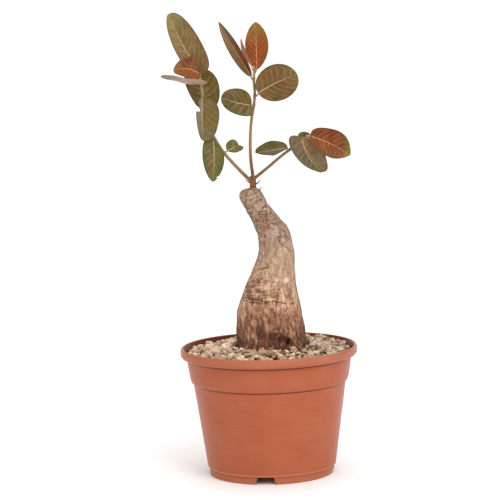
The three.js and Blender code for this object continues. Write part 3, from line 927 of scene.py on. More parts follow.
@dataclass
class TopDressing:
    """Several hundred loose pumice grains on a bed, domed towards the trunk. Sizes are in mm."""

    seed: int = 11
    trunk_x: float = 4.0
    trunk_radius: float = 34.6
    wall_radius: float = 77.8
    trunk_level: float = 124.4     # height of the dressing at the trunk, and its fall to the wall
    fall: float = 5.8
    spacing: float = 6.7
    sizes: tuple[float, float] = (3.3, 6.0)
    graded: tuple[float, ...] = (0.62, 0.85, 1.0, 1.15)
    flats: int = 4
    blunting: float = 0.06
    bed_drop: float = 4.6
    bed_foot: float = 108.5
    shades: Stops = (
        (0.0, "#71503c"), (0.2, "#9a7557"), (0.45, "#bd9a7c"), (0.75, "#d8bea3"), (1.0, "#ecdac2"),
    )
    # Shares of red, green and blue that dust takes away in front, and that painted shade takes away on the
    # right side.
    dust_loss: Point = (0.05, 0.09, 0.2)
    painted_shade_loss: Point = (0.28, 0.29, 0.31)
    finish: Pumice = Pumice()

    def height(self, x: Floats, y: Floats) -> Floats:
        """Height of the dressing: it falls from the trunk to the wall, with soft lumps and a heap.

        The fall is the share of the way to the wall, to the power 0.75. The back leans up to the
        right, where the heap is.

        Args:
            x: places across, in mm.
            y: places deep, in mm.

        Returns:
            Heights, in mm.
        """
        from_trunk = np.hypot(x - self.trunk_x, y) - self.trunk_radius
        to_wall = self.wall_radius - np.hypot(x, y)
        share = np.clip(from_trunk / (from_trunk + to_wall + 1e-6), 0.0, 1.0)
        lumps = noise(np.stack([x, y, 0.0 * x], axis=-1), 21.0, 5)
        lean = 1.2 * (x / self.wall_radius) * (y > 0) - 0.8 * (y > 0)
        heap = 2.2 * step(np.abs(x - 35.0), 42.0, 12.0) * step(y, 15.0, 55.0)
        return self.trunk_level - self.fall * share**0.75 + 0.9 * lumps + (lean + heap) * share

    def places(self, spacing: float, rng: np.random.Generator) -> Floats:
        """Jittered triangular lattice over the ring between trunk and wall.

        Rows lie 0.866 of the spacing apart, and a place moves by up to 0.34 of it each way.

        Args:
            spacing: distance between neighbours, in mm.
            rng: the source of the jitter.

        Returns:
            Places, (n, 2).
        """
        count = int(2 * self.wall_radius / spacing) + 2
        i, j = np.meshgrid(np.arange(-count, count), np.arange(-count, count), indexing="ij")
        x = (i + 0.5 * (j % 2)) * spacing
        y = j * spacing * 0.866
        spots = np.stack([x.ravel(), y.ravel()], axis=-1)
        spots += rng.uniform(-0.34, 0.34, spots.shape) * spacing
        clear = np.hypot(spots[:, 0] - self.trunk_x, spots[:, 1]) > self.trunk_radius + 1.0
        return spots[clear & (np.hypot(spots[:, 0], spots[:, 1]) < self.wall_radius - 0.6)]

    def lumps(self, n: int, rng: np.random.Generator) -> tuple[Floats, Ints]:
        """Angular lumps of radius about 1: icosahedra whose corners are pushed in and out and blunted.

        Each face is cut in four by the middles of its edges, and a corner moves a small share of
        the way towards the middles round it.

        Args:
            n: how many lumps.
            rng: the source of the push.

        Returns:
            The lumps' points (n, m, 3), and the triangles that each of them has (k, 3).
        """
        corners, edges, triangles = quartered_icosahedron()
        tips = corners[None] * rng.uniform(0.6, 1.18, (n, len(corners), 1))
        middles = 0.5 * (tips[:, edges[:, 0]] + tips[:, edges[:, 1]])
        touch = (edges[None, :, :] == np.arange(len(corners))[:, None, None]).any(-1).astype(float)
        around = np.einsum("ce,nek->nck", touch / touch.sum(1, keepdims=True), middles)
        points = np.concatenate([tips + self.blunting * (around - tips), middles], axis=1)
        return points, triangles

    def grains(self, spots: Floats, lift: float, painted_gap_shade: float, rng: np.random.Generator) -> MeshData:
        """Angular grains: lumps with flats, stretched, tipped, turned and laid on their spots.

        A flat is where a grain was broken: its corners beyond a plane are moved back onto it.

        Args:
            spots: where the grains lie, (n, 2).
            lift: height of their middles over the dressing's surface, in mm.
            painted_gap_shade: how far their colour is moved to the dark end, as painted shade for grains
                lying lower.
            rng: the source of every random draw.

        Returns:
            All the grains as one mesh.
        """
        n = len(spots)
        body, triangles = self.lumps(n, rng)
        size = rng.uniform(self.sizes[0], self.sizes[1], (n, 1)) * rng.choice(self.graded, (n, 1))
        for _ in range(self.flats):
            facing = rng.normal(size=(n, 3))
            facing /= np.linalg.norm(facing, axis=1, keepdims=True)
            over = np.einsum("npk,nk->np", body, facing) - rng.uniform(0.42, 0.7, (n, 1))
            body = body - np.maximum(over, 0.0)[..., None] * facing[:, None]
        squash = np.stack([np.ones(n), rng.uniform(0.72, 0.95, n), rng.uniform(0.6, 0.85, n)], axis=-1)
        body = body * squash[:, None] * size[..., None]
        spin = rng.uniform(0.0, FULL_TURN, (n, 1))
        tip = rng.uniform(-0.6, 0.6, (n, 1))
        x = body[..., 0] * np.cos(tip) - body[..., 2] * np.sin(tip)
        y = body[..., 1]
        z = body[..., 0] * np.sin(tip) + body[..., 2] * np.cos(tip)
        cos, sin = np.cos(spin), np.sin(spin)
        body = np.stack([x * cos - y * sin, x * sin + y * cos, z], axis=-1)
        level = self.height(spots[:, 0], spots[:, 1]) + lift + rng.uniform(-0.9, 0.9, n)
        points = body + np.stack([spots[:, 0], spots[:, 1], level], axis=-1)[:, None]
        # Grains are pushed in until they touch the wall, which leans out by 0.38 mm a millimetre.
        limit = self.wall_radius + 0.38 * np.clip(points[..., 2] - 114.0, 0.0, 9.0)
        across = np.hypot(points[..., 0], points[..., 1])
        points[..., :2] *= np.minimum(1.0, limit / np.maximum(across, 1e-6))[..., None]
        # dim moves the lower layer's grains towards the dark end: painted shade.
        shade = np.clip(rng.beta(2.0, 1.0, n) - painted_gap_shade, 0.0, 1.0)
        count = body.shape[1]
        colour = np.repeat(ramp(self.shades, shade)[:, None], count, axis=1)
        colour[..., 0] *= rng.uniform(0.97, 1.08, (n, 1))
        # Dust from the bark has yellowed the grains in front of the trunk; painted shade darkens those on the
        # right.
        dusty = step(np.hypot(spots[:, 0] - 8.0, spots[:, 1] + 55.0), 46.0, 22.0)[:, None, None]
        dull = (step(spots[:, 0], 25.0, 45.0) * (1.7 - 1.05 * shade))[:, None, None]
        colour[..., :3] *= 1.0 - dusty * np.array(self.dust_loss) - dull * np.array(self.painted_shade_loss)
        # Painted shade: a grain is darkened from its middle down, towards the shaded gaps between grains.
        colour[..., :3] *= (0.22 + 0.78 * step(body[..., 2] / size, -0.3, 0.3))[..., None]
        faces = (triangles[None] + (np.arange(n) * count)[:, None, None]).reshape(-1, 3)
        return MeshData(points.reshape(-1, 3), [faces], {"grain_colour": colour.reshape(-1, 4)})

    def bed(self) -> MeshData:
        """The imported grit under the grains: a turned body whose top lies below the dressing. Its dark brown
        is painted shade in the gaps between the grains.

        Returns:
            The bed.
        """
        rings = np.linspace(0.4, self.wall_radius - 0.6, 60)
        angle = np.arange(120) * FULL_TURN / 120
        x = rings[:, None] * np.cos(angle)
        y = rings[:, None] * np.sin(angle)
        lumps = noise(np.stack([x, y, 0.0 * x], axis=-1), 4.0, 9)
        top = np.stack([x, y, self.height(x, y) - self.bed_drop + 0.7 * lumps], axis=-1)
        foot = np.full_like(x[0], self.bed_foot)
        wall = np.stack([x[-1] * 0.985, y[-1] * 0.985, foot], axis=-1)
        base = np.stack([x[0], y[0], foot], axis=-1)
        grid = np.concatenate([top, wall[None], base[None]])
        # Painted shade: the bed is dark brown so that the gaps between the grains look shaded.
        shade = mix(coat("#4a3424", grid), "#2c1c12", 0.5 + 0.5 * noise(grid, 5.0, 3))
        return skin(grid, values={"grain_colour": shade})

    def build(self) -> None:
        """Makes the bed, a lower layer of grains darkened as painted shade, and the top layer, as one piece.
        """
        rng = np.random.default_rng(self.seed)
        parts = [self.bed()]
        # The lower layer is darkened as painted shade under the top grains.
        for gap, lift, painted_gap_shade in ((self.spacing * 1.12, -2.6, 0.3), (self.spacing, -0.2, 0.0)):
            parts.append(self.grains(self.places(gap, rng), lift, painted_gap_shade, rng))
        piece = make_object("pumice_grains", join(parts), self.finish.material(), smooth=False)
        settle(piece, ("pumice_top_dressing",))


# ---------------- trunk


@dataclass(frozen=True)
class Mark:
    """A stain, scar, pale spot or painted shade on the front of the trunk: a ragged ellipse in the front
    view.
    """

    x: float
    z: float
    half_width: float
    half_height: float
    shade: str
    strength: float
    raised: float = 0.0        # mm, sunk where negative
    tilt: float = 0.0          # degrees that its height leans to the right


@dataclass(frozen=True)
class Crease:
    """A dark line across the front of the trunk through a few points of X and height."""

    points: tuple[tuple[float, float], ...]
    half_width: float = 0.7
    shade: str = "#6a3f2f"
    strength: float = 0.85
    raised: float = -0.5


MARKS: tuple[Mark, ...] = (
    # Crown: pits and pale flakes.
    Mark(-12.6, 274.4, 1.7, 0.9, "#54352a", 0.8), Mark(-16.7, 272.0, 1.7, 1.5, "#a06845", 0.8),
    Mark(-12.7, 269.8, 1.6, 0.9, "#64473d", 0.8, -0.3), Mark(-12.8, 267.3, 1.9, 1.4, "#cdb7b3", 0.9),
    Mark(-12.6, 264.8, 1.7, 1.1, "#6f5349", 0.8, -0.3), Mark(-16.8, 268.5, 1.0, 1.1, "#75533f", 0.7),
    Mark(-16.0, 263.2, 0.8, 3.6, "#d6b99b", 0.8, 0.0, 24.0),
    Mark(-17.6, 261.5, 0.8, 3.8, "#74584a", 0.7, -0.2, 24.0),
    Mark(-6.7, 267.5, 1.3, 1.6, "#6d3d2c", 0.85), Mark(-2.2, 265.0, 0.9, 3.0, "#86624d", 0.7),
    # Leaning part: fissures, rust-red stains, a grey-pink swirl.
    Mark(-0.3, 257.2, 2.6, 0.8, "#783f30", 0.85, -0.3), Mark(3.1, 255.0, 3.6, 2.6, "#bd9d92", 0.6),
    Mark(-7.6, 244.6, 2.2, 1.9, "#a05b38", 0.85), Mark(-3.9, 248.0, 1.2, 1.2, "#50342a", 0.85, -0.4),
    Mark(1.5, 245.2, 1.3, 0.9, "#513a31", 0.85, -0.4), Mark(-7.0, 240.0, 1.6, 2.6, "#84563f", 0.7),
    Mark(3.2, 238.4, 1.4, 3.6, "#86593f", 0.75, -0.3, 10.0), Mark(9.2, 233.6, 4.4, 4.2, "#c8b09f", 0.75),
    Mark(6.4, 236.4, 3.6, 0.7, "#8d6d5c", 0.6, -0.2, 60.0),
    Mark(-0.4, 222.4, 2.2, 3.8, "#98593a", 0.85, 0.3),
    Mark(12.4, 229.0, 1.3, 1.0, "#5a3a2c", 0.85, -0.3), Mark(13.0, 225.2, 1.5, 1.8, "#674433", 0.8, -0.3),
    Mark(10.4, 214.0, 0.8, 8.0, "#91735c", 0.6), Mark(18.6, 208.0, 0.8, 7.0, "#97735b", 0.55),
    # Middle: branch scars, the round pale scar and its neighbour.
    Mark(-4.0, 189.4, 5.0, 4.4, "#90644b", 0.6, 1.0), Mark(-8.1, 188.4, 1.3, 1.5, "#52301f", 0.9, -0.5),
    Mark(-4.3, 190.4, 1.6, 0.9, "#6b4431", 0.8, -0.3), Mark(18.6, 187.7, 3.1, 2.9, "#e2c7b0", 0.95, 0.6),
    Mark(9.7, 189.6, 2.3, 2.9, "#dabb9f", 0.7), Mark(1.4, 182.6, 1.6, 3.2, "#d6b496", 0.65),
    Mark(-13.0, 180.0, 1.6, 1.0, "#d2ad90", 0.7), Mark(-4.6, 180.2, 1.6, 0.9, "#d2ad90", 0.7),
    Mark(-1.5, 168.1, 2.4, 1.2, "#42231a", 0.9, -0.6), Mark(4.6, 171.8, 3.4, 0.9, "#d2b294", 0.75),
    Mark(-11.0, 161.5, 6.8, 4.6, "#ba9770", 0.6),
    # Lower part: pale strands, wet dark patches, the hollow and the toe beside it. The hollow is a painted
    # shadow and the sunk patch round it is painted shade.
    Mark(15.3, 170.0, 0.9, 12.0, "#dfbd9f", 0.75, 0.3, -11.0),
    Mark(27.0, 164.0, 0.7, 5.0, "#d5b497", 0.7, 0.2),
    Mark(9.0, 152.0, 10.0, 9.0, "#6f3f2e", 0.6), Mark(-5.0, 150.0, 5.0, 6.0, "#6f4432", 0.5),
    Mark(-21.6, 138.2, 1.2, 4.2, "#d2a68b", 0.7, 0.3), Mark(-8.4, 141.0, 4.4, 7.4, "#4c271e", 1.05, -0.5),
    # Painted shade: the dark sunk patch at x = 10, z = 134.8 round the hollow.
    Mark(10.0, 134.8, 9.8, 5.6, "#431f17", 1.15, -1.0), Mark(0.2, 144.4, 4.6, 3.0, "#ba9370", 0.65, 0.4),
    Mark(-5.8, 130.6, 4.2, 3.6, "#9d6242", 0.8, 0.8), Mark(-28.0, 130.6, 3.2, 3.4, "#45241f", 0.8),
    # Painted shadow: the hollow at x = 19.4, z = 130.2 is painted near-black.
    Mark(19.4, 130.2, 2.3, 3.4, "#060302", 1.6, -4.0, 12.0), Mark(25.4, 130.6, 1.7, 2.2, "#b8996a", 0.6),
)
CREASES: tuple[Crease, ...] = (
    Crease(((-4.0, 250.2), (1.1, 251.4), (7.0, 250.0)), 0.5),
    Crease(((-6.0, 253.0), (-1.0, 253.8), (5.0, 253.0)), 0.5),
    Crease(((13.4, 223.6), (19.1, 218.4), (24.6, 213.8)), 0.6, "#734936"),
    Crease(((-8.0, 198.2), (-3.0, 199.4), (2.6, 201.8)), 0.55, "#6b4535", 0.9, -0.5),
    Crease(((-9.0, 187.4), (-4.7, 185.2), (0.6, 186.8)), 1.0, "#723f30", 0.9),
    Crease(((-21.0, 181.8), (-12.3, 184.0), (-0.5, 182.8)), 0.5),
    Crease(((-21.6, 176.2), (-11.5, 177.2), (-0.5, 178.4)), 0.6),
    Crease(((-23.0, 171.6), (-12.6, 172.8), (-0.5, 172.8)), 0.5),
    Crease(
        ((-19.0, 171.4), (-8.9, 170.4), (-1.8, 168.7), (4.3, 169.9), (15.6, 167.2), (27.5, 165.2)),
        0.65, "#572c20", 0.95, -0.9,
    ),
    Crease(((-17.0, 168.3), (-9.0, 167.4), (-0.5, 165.6)), 0.6),
    Crease(((5.0, 142.0), (11.0, 140.6), (17.0, 137.0)), 0.5, "#b78f74"),
)


@dataclass(frozen=True)
class BarkFields:
    """What the trunk's relief and its colours share: fields over its skin, (rows, columns).

    The first group says where a place lies: its height, the cosine of its turn, and shares for
    the crown, the low part, the foot, the upper part, the front and the left. The second group is
    noise that follows the grain of the bark.
    """

    level: Floats
    cos: Floats
    crown: Floats
    low: Floats
    foot: Floats
    upper: Floats
    front: Floats
    left: Floats
    fibres: Floats
    strands: Floats
    ribs: Floats
    buttress: Floats
    drift: Floats
    stain: Floats
    crumbs: Floats
    splits: Floats
    chips: Floats
    wrinkles: Floats


@dataclass
class Caudex:
    """The swollen trunk: level sections of a leaning, tapering body with bark relief."""

    rows: int = 380
    cols: int = 250
    # Height, offset of the middle in X, radius.
    sections: tuple[Point, ...] = (
        (108, 4.0, 34.6), (118, 4.0, 34.8), (126, 4.0, 34.6), (132, 3.2, 34.0), (139, 2.5, 33.2),
        (148, 2.1, 31.8), (156, 1.8, 31.0), (163, 2.0, 29.3), (170, 2.4, 27.3), (177, 3.4, 25.5),
        (184, 4.2, 23.6), (191, 5.9, 21.8), (198, 7.0, 20.0), (206, 9.0, 18.4), (214, 10.0, 17.1),
        (222, 9.4, 16.1), (230, 8.3, 15.5), (237, 5.6, 15.5), (244, 1.3, 13.9), (250, -2.5, 13.0),
        (256, -6.5, 12.3), (262, -10.2, 11.8), (267, -12.1, 11.7), (271, -12.8, 10.3),
        (274, -12.2, 7.3), (275.2, -11.6, 3.6), (275.5, -11.4, 0.3),
    )
    unrolled_radius: float = 30.0
    # Knobs on the outline: middle, half widths along the three axes, height over the bark.
    knobs: tuple[tuple[Point, Point, float], ...] = (
        ((18.8, -4.0, 240.0), (4.0, 8.0, 4.0), 0.9), ((0.8, -4.0, 265.0), (2.4, 6.0, 2.6), 0.7),
        ((-15.8, -5.0, 251.4), (2.0, 6.0, 1.6), 0.9), ((12.6, -4.0, 247.2), (2.8, 8.0, 2.4), 0.6),
        ((-6.8, -4.0, 226.6), (1.8, 6.0, 1.3), 0.7),
    )
    tones: Stops = (
        (118, "#452820"), (126, "#66402f"), (134, "#86573f"), (144, "#9a6c50"), (156, "#a87a5c"),
        (170, "#b08a6b"), (186, "#b48f72"), (202, "#b19277"), (216, "#ad8f77"), (236, "#a68a76"),
        (276, "#a48c74"),
    )
    # Share of red, green and blue that damp and wet take away, and that dust adds.
    damp_loss: Point = (0.18, 0.24, 0.28)
    wet_loss: Point = (0.14, 0.24, 0.32)
    dust_gain: Point = (0.12, 0.15, 0.18)
    marks: tuple[Mark, ...] = MARKS
    creases: tuple[Crease, ...] = CREASES
    finish: Bark = Bark("phyllanthus_bark", "bark_colour")

    def stations(self) -> tuple[Floats, Floats, Floats]:
        """Heights, offsets and radii spread evenly by the length of the outline.

        Returns:
            Three columns, (rows, 1) each.
        """
        stops = np.array(self.sections)
        outline = np.hypot(np.diff(stops[:, 0]), np.diff(stops[:, 2]))
        keys = np.concatenate([[0.0], np.cumsum(outline)])
        read = spline(keys, stops, np.linspace(0.0, keys[-1], self.rows))
        return read[:, :1], read[:, 1:2], np.maximum(read[:, 2:], 0.2)

    def placed(self, points: Floats, front: Floats) -> list[tuple[Floats, str, float]]:
        """Where each mark and crease lies, as shares from 0 to 1 with ragged edges.

        A mark's share is a smooth step of the distance from its middle, measured in its half width
        and half height; a crease's is one of the height over its line, which fades at its ends.

        Args:
            points: places on the trunk, (..., 3).
            front: 1 where the trunk faces the front, else 0.

        Returns:
            For each its share times its strength, its colour and its relief in mm.
        """
        x, z = points[..., 0], points[..., 2]
        rag = 0.24 * noise(points, 2.3, 61) + 0.12 * noise(points, 1.2, 62)
        patchy = 0.72 + 0.4 * noise(points, 1.5, 64)
        found = []
        for mark in self.marks:
            lean = math.radians(mark.tilt)
            dx, dz = x - mark.x, z - mark.z
            across = (dx * math.cos(lean) - dz * math.sin(lean)) / mark.half_width
            upward = (dx * math.sin(lean) + dz * math.cos(lean)) / mark.half_height
            share = step(np.hypot(across, upward) + rag, 1.35, 0.35) * front
            found.append((np.minimum(share * mark.strength * patchy, 1.0), mark.shade, mark.raised))
        for crease in self.creases:
            along, height = np.array(crease.points).T
            over = np.abs(z - np.interp(x, along, height) + 0.8 * noise(points, 5.0, 63))
            ends = step(x, along[0] - 0.8, along[0] + 1.0) * step(x, along[-1] + 0.8, along[-1] - 1.0)
            whole = step(noise(points, 4.0, 65), -0.6, 0.0)
            share = step(over / crease.half_width + 1.2 * rag, 1.5, 0.4) * ends * front * whole
            found.append((share * crease.strength, crease.shade, crease.raised))
        return found

    def fields(self, points: Floats, cos: Floats, sin: Floats) -> BarkFields:
        """The fields that relief and colours share.

        Fibres, strands, ribs and buttress are noise on the trunk unrolled from a straight
        cylinder, so that they run up it without a break; the rest is noise on the trunk itself.

        Args:
            points: places on the smooth trunk, (rows, columns, 3).
            cos: cosine of each place's turn about the trunk's middle.
            sin: its sine.

        Returns:
            The fields.
        """
        level = points[..., 2]
        flat = np.stack([self.unrolled_radius * cos, self.unrolled_radius * sin, level], axis=-1)
        wander = np.stack([noise(flat, 8.0, 71), noise(flat, 8.0, 72), 0 * level], axis=-1)
        grained = flat + 2.2 * wander
        drift = fractal(points, 17.0, 5)
        left = step(cos, 0.5, -0.3)
        # Growth wrinkles: level ripples 3.7 mm apart in a belt on the left.
        ripple = np.sin((level + 3.0 * drift + 2.2 * noise(points, 7.0, 10)) * FULL_TURN / 3.7)
        belt = step(level, 160.0, 170.0) * step(level, 198.0, 186.0)
        return BarkFields(
            level=level,
            cos=cos,
            crown=step(level, 276.0, 262.0),
            low=step(level, 205.0, 165.0),
            foot=step(level, 158.0, 128.0),
            upper=step(level, 212.0, 234.0),
            front=step(-sin, 0.02, 0.2),
            left=left,
            fibres=0.75 * noise(grained, (1.4, 1.4, 6.0), 1) + 0.6 * noise(grained, (0.9, 0.9, 3.4), 11),
            strands=noise(grained, (3.2, 3.2, 17.0), 2),
            ribs=noise(grained, (7.0, 7.0, 38.0), 3),
            buttress=noise(flat, (13.0, 13.0, 90.0), 4),
            drift=drift,
            stain=fractal(points, (9.0, 9.0, 12.0), 6),
            crumbs=fractal(points, 2.1, 7),
            splits=np.abs(fractal(points + 1.2 * wander, (5.5, 5.5, 4.2), 8)),
            chips=np.abs(noise(points, (2.6, 2.6, 2.0), 9)),
            wrinkles=step(ripple, 0.35, 0.95) * left * belt * step(noise(points, 5.0, 12), -0.45, 0.1),
        )

    def relief(self, on: BarkFields, points: Floats, marks: list[tuple[Floats, str, float]]) -> Floats:
        """How far the bark stands out of the smooth trunk, which is less towards the crown's top.

        A knob is a smooth step of the distance from its middle, measured in its half widths.

        Args:
            on: the shared fields.
            points: places on the smooth trunk.
            marks: the shares, colours and reliefs of marks and creases.

        Returns:
            Millimetres outward.
        """
        out = (0.26 * on.fibres + 0.4 * on.strands + 0.35 * on.ribs) * on.low + 1.2 * on.buttress * on.foot
        out += 0.2 * on.crumbs + (0.4 * on.drift + 0.7 * step(on.splits, 0.0, 0.16) - 0.5) * on.upper
        out -= 0.45 * on.wrinkles
        # The toe at the right is drawn in.
        out -= 1.6 * step(on.cos, 0.7, 0.95) * step(on.level, 142.0, 128.0)
        for middle, reach, height in self.knobs:
            away = np.linalg.norm((points - np.array(middle)) / np.array(reach), axis=-1)
            out += height * step(away, 1.15, 0.3)
        out += sum(share * raised for share, _, raised in marks)
        return out * (0.25 + 0.75 * on.crown)

    def layers(self, on: BarkFields) -> tuple[tuple[str, float, Floats], ...]:
        """The colours laid over the trunk's tones, in order.

        Args:
            on: the shared fields.

        Returns:
            Each layer's colour, its strength and where it lies.
        """
        fine = on.fibres + 0.4 * on.strands
        return (
            # Rust-red and pale stains, and dark wet ones at the foot.
            ("#86503a", 0.82, step(on.stain, -0.05, 0.45) * step(on.level, 206.0, 176.0)),
            ("#b5936b", 0.45, step(-on.stain, 0.1, 0.5) * on.low * (1 - on.foot)),
            ("#4f2a20", 0.8, step(on.stain + 0.5 * on.buttress, 0.05, 0.5) * on.foot),
            # Pale fibres that stand out, dark ones between them, and dark furrows on the right.
            ("#dcb799", 0.66, step(fine, 0.2, 0.7) * on.low * (1 - 0.25 * on.foot)),
            ("#5f3225", 0.66, step(-fine, 0.15, 0.65) * on.low),
            ("#5b3427", 0.6, step(-on.ribs, 0.2, 0.7) * on.low * (1 - on.left)),
            ("#a88a70", 0.35, step(on.fibres, 0.1, 0.8) * (1 - on.low)),
            ("#6b3e2e", 0.8, on.wrinkles),
            # Upper part: grey-pink bloom, rust, dark splits and chips.
            ("#cfb5a6", 0.6, step(on.drift + on.crumbs, 0.05, 0.7) * on.upper),
            ("#9a6547", 0.6, step(on.stain, 0.12, 0.5) * on.upper),
            ("#644739", 0.72, step(on.splits, 0.13, 0.02) * on.upper),
            ("#77594a", 0.55, step(on.chips, 0.16, 0.02) * on.upper),
            # Crumbs of cork, dark in the gaps and pale on top.
            ("#6c4a38", 0.4, step(-on.crumbs, 0.1, 0.6)),
            ("#d3b49b", 0.3, step(on.crumbs, 0.15, 0.6)),
        )

    def colours(self, on: BarkFields, points: Floats, marks: list[tuple[Floats, str, float]]) -> Floats:
        """The bark's colours: tones by height, layers, marks, then damp, dust and painted shade on the
        flanks.

        Args:
            on: the shared fields.
            points: places on the smooth trunk.
            marks: the shares, colours and reliefs of marks and creases.

        Returns:
            Linear colours, (rows, columns, 4).
        """
        colour = ramp(self.tones, on.level + 5.0 * on.drift)
        for shade, strength, share in self.layers(on):
            colour = mix(colour, shade, strength * share)
        for share, shade, _ in marks:
            colour = mix(colour, shade, share)
        # Damp from the dressing darkens the middle and the right of the foot; dust pales the belt over it.
        x, level, front = points[..., 0], on.level, on.front
        damp = step(level, 168.0, 150.0) * step(x, -14.0, -6.0) * step(x, 20.0, 8.0) * front
        wet = step(level, 148.0, 132.0) * step(x, 8.0, 20.0) * front
        pale = step(np.abs(level - 180.0), 24.0, 12.0) * front
        pale = np.maximum(pale, 1.6 * step(np.abs(level - 156.0), 18.0, 8.0) * step(x, -8.0, -15.0) * front)
        pale = pale + 0.6 * step(np.abs(level - 168.0), 22.0, 10.0) * step(x, 6.0, 14.0) * front
        darker = damp[..., None] * np.array(self.damp_loss) + wet[..., None] * np.array(self.wet_loss)
        colour[..., :3] *= 1.0 - darker
        colour[..., :3] *= 1.0 + pale[..., None] * np.array(self.dust_gain)
        # Painted shade: the trunk is darkened on its two flanks, where it turns away from the light.
        colour[..., :3] *= 1.0 - 0.2 * step(np.abs(on.cos), 0.84, 1.0)[..., None]
        return colour

    def build(self) -> None:
        """Makes the trunk: the radius at each height and turn is the section's plus the relief."""
        z, offset, radius = self.stations()
        turn = np.arange(self.cols) * FULL_TURN / self.cols
        cos, sin = np.cos(turn) + 0 * z, np.sin(turn) + 0 * z
        level = z + 0 * cos
        smooth = np.stack([offset + radius * cos, radius * sin, level], axis=-1)
        on = self.fields(smooth, cos, sin)
        marks = self.placed(smooth, on.front)
        reach = radius * (1.0 + self.relief(on, smooth, marks) / np.maximum(radius, 8.0))
        grid = np.stack([offset + reach * cos, reach * sin, level], axis=-1)
        data = skin(grid, values={"bark_colour": self.colours(on, smooth, marks)})
        piece = make_object("caudex_bark", join([data, self.stub()]), self.finish.material())
        settle(piece, ("caudex",))

    def stub(self) -> MeshData:
        """A dry, dark stub on the crown: a tapering rod.

        Returns:
            The stub.
        """
        line = path([(-6.5, -4.0, 270.0), (-4.0, -4.6, 274.0), (-2.5, -5.0, 276.5)], 8)
        grid = rod(line, np.linspace(0.8, 0.3, 8), 10, DEPTH)
        return skin(grid, values={"bark_colour": coat("#4a3a33", grid)})


@dataclass(frozen=True)
class Branchlet:
    """One young woody branchlet: its path, its radii at foot and tip, and its growing tip."""

    name: str
    line: tuple[Point, ...]
    tip: Point
    foot_radius: float
    tip_radius: float
    tones: Stops
    joints: tuple[float, ...]
    seed: int
    bud: str
    scale: str = "#6b4430"
    rows: int = 170
    cols: int = 20

    def centre(self, count: int) -> Floats:
        """Points along the middle of the branchlet, up to its growing tip."""
        return path([*self.line, self.tip], count)

    def skin_radius(self, share: Floats) -> Floats:
        """Radius at a share of the length: a straight taper."""
        return self.foot_radius + (self.tip_radius - self.foot_radius) * share

    def body(self) -> MeshData:
        """The branchlet: its taper, swollen by a bell curve at each leaf joint, ending in a bud.

        Returns:
            The branchlet without its scales.
        """
        line = self.centre(self.rows)
        share = np.linspace(0.0, 1.0, self.rows)
        radius = self.skin_radius(share)
        for height in self.joints:
            radius = radius + 0.28 * np.exp(-(((line[:, 2] - height) / 1.6) ** 2))
        bud = np.sqrt(np.clip((1.0 - share) / 0.03, 0.0, 1.0))
        grid = rod(line, radius * (0.12 + 0.88 * bud), self.cols, DEPTH)
        rough = 1.0 + 0.07 * fractal(grid, (1.6, 1.6, 5.0), self.seed)
        grid = line[:, None] + (grid - line[:, None]) * rough[..., None]
        along = share[:, None] + 0.0 * rough
        colour = ramp(self.tones, along + 0.04 * noise(grid, 6.0, self.seed + 1))
        streak = step(noise(grid, (1.2, 1.2, 9.0), self.seed + 2), 0.0, 0.8)
        colour = mix(colour, "#8a5f45", 0.35 * streak * (1.0 - along))
        for height in self.joints:
            colour = mix(colour, "#7a5136", 0.5 * np.exp(-(((grid[..., 2] - height) / 0.9) ** 2)))
        return skin(grid, values={"twig_colour": colour})

    def stipules(self) -> list[MeshData]:
        """Two dry scales at each leaf joint: short cones that stand off the branchlet.

        Returns:
            The scales; the two at the growing tip have the bud's colour.
        """
        scales = []
        line = self.centre(240)
        for number, height in enumerate(self.joints):
            foot = line[int(np.argmin(np.abs(line[:, 2] - height)))]
            shade = self.bud if number == len(self.joints) - 1 else self.scale
            for hand in (-1.0, 1.0):
                turn = 1.3 * number + hand * 0.9 + self.seed
                out = np.array([math.cos(turn), math.sin(turn), 0.9])
                spine = np.stack([foot + out * reach for reach in (0.4, 1.1, 1.7, 2.2)])
                grid = rod(spine, np.array([0.45, 0.38, 0.22, 0.05]), 8, (0.3, 1.0, 0.1))
                scales.append(skin(grid, values={"twig_colour": coat(shade, grid)}))
        return scales

    def build(self, material: bpy.types.Material) -> None:
        """Makes the branchlet with its scales."""
        piece = make_object(f"twig_{self.name}", join([self.body(), *self.stipules()]), material)
        settle(piece, (f"branchlet_{self.name}",))


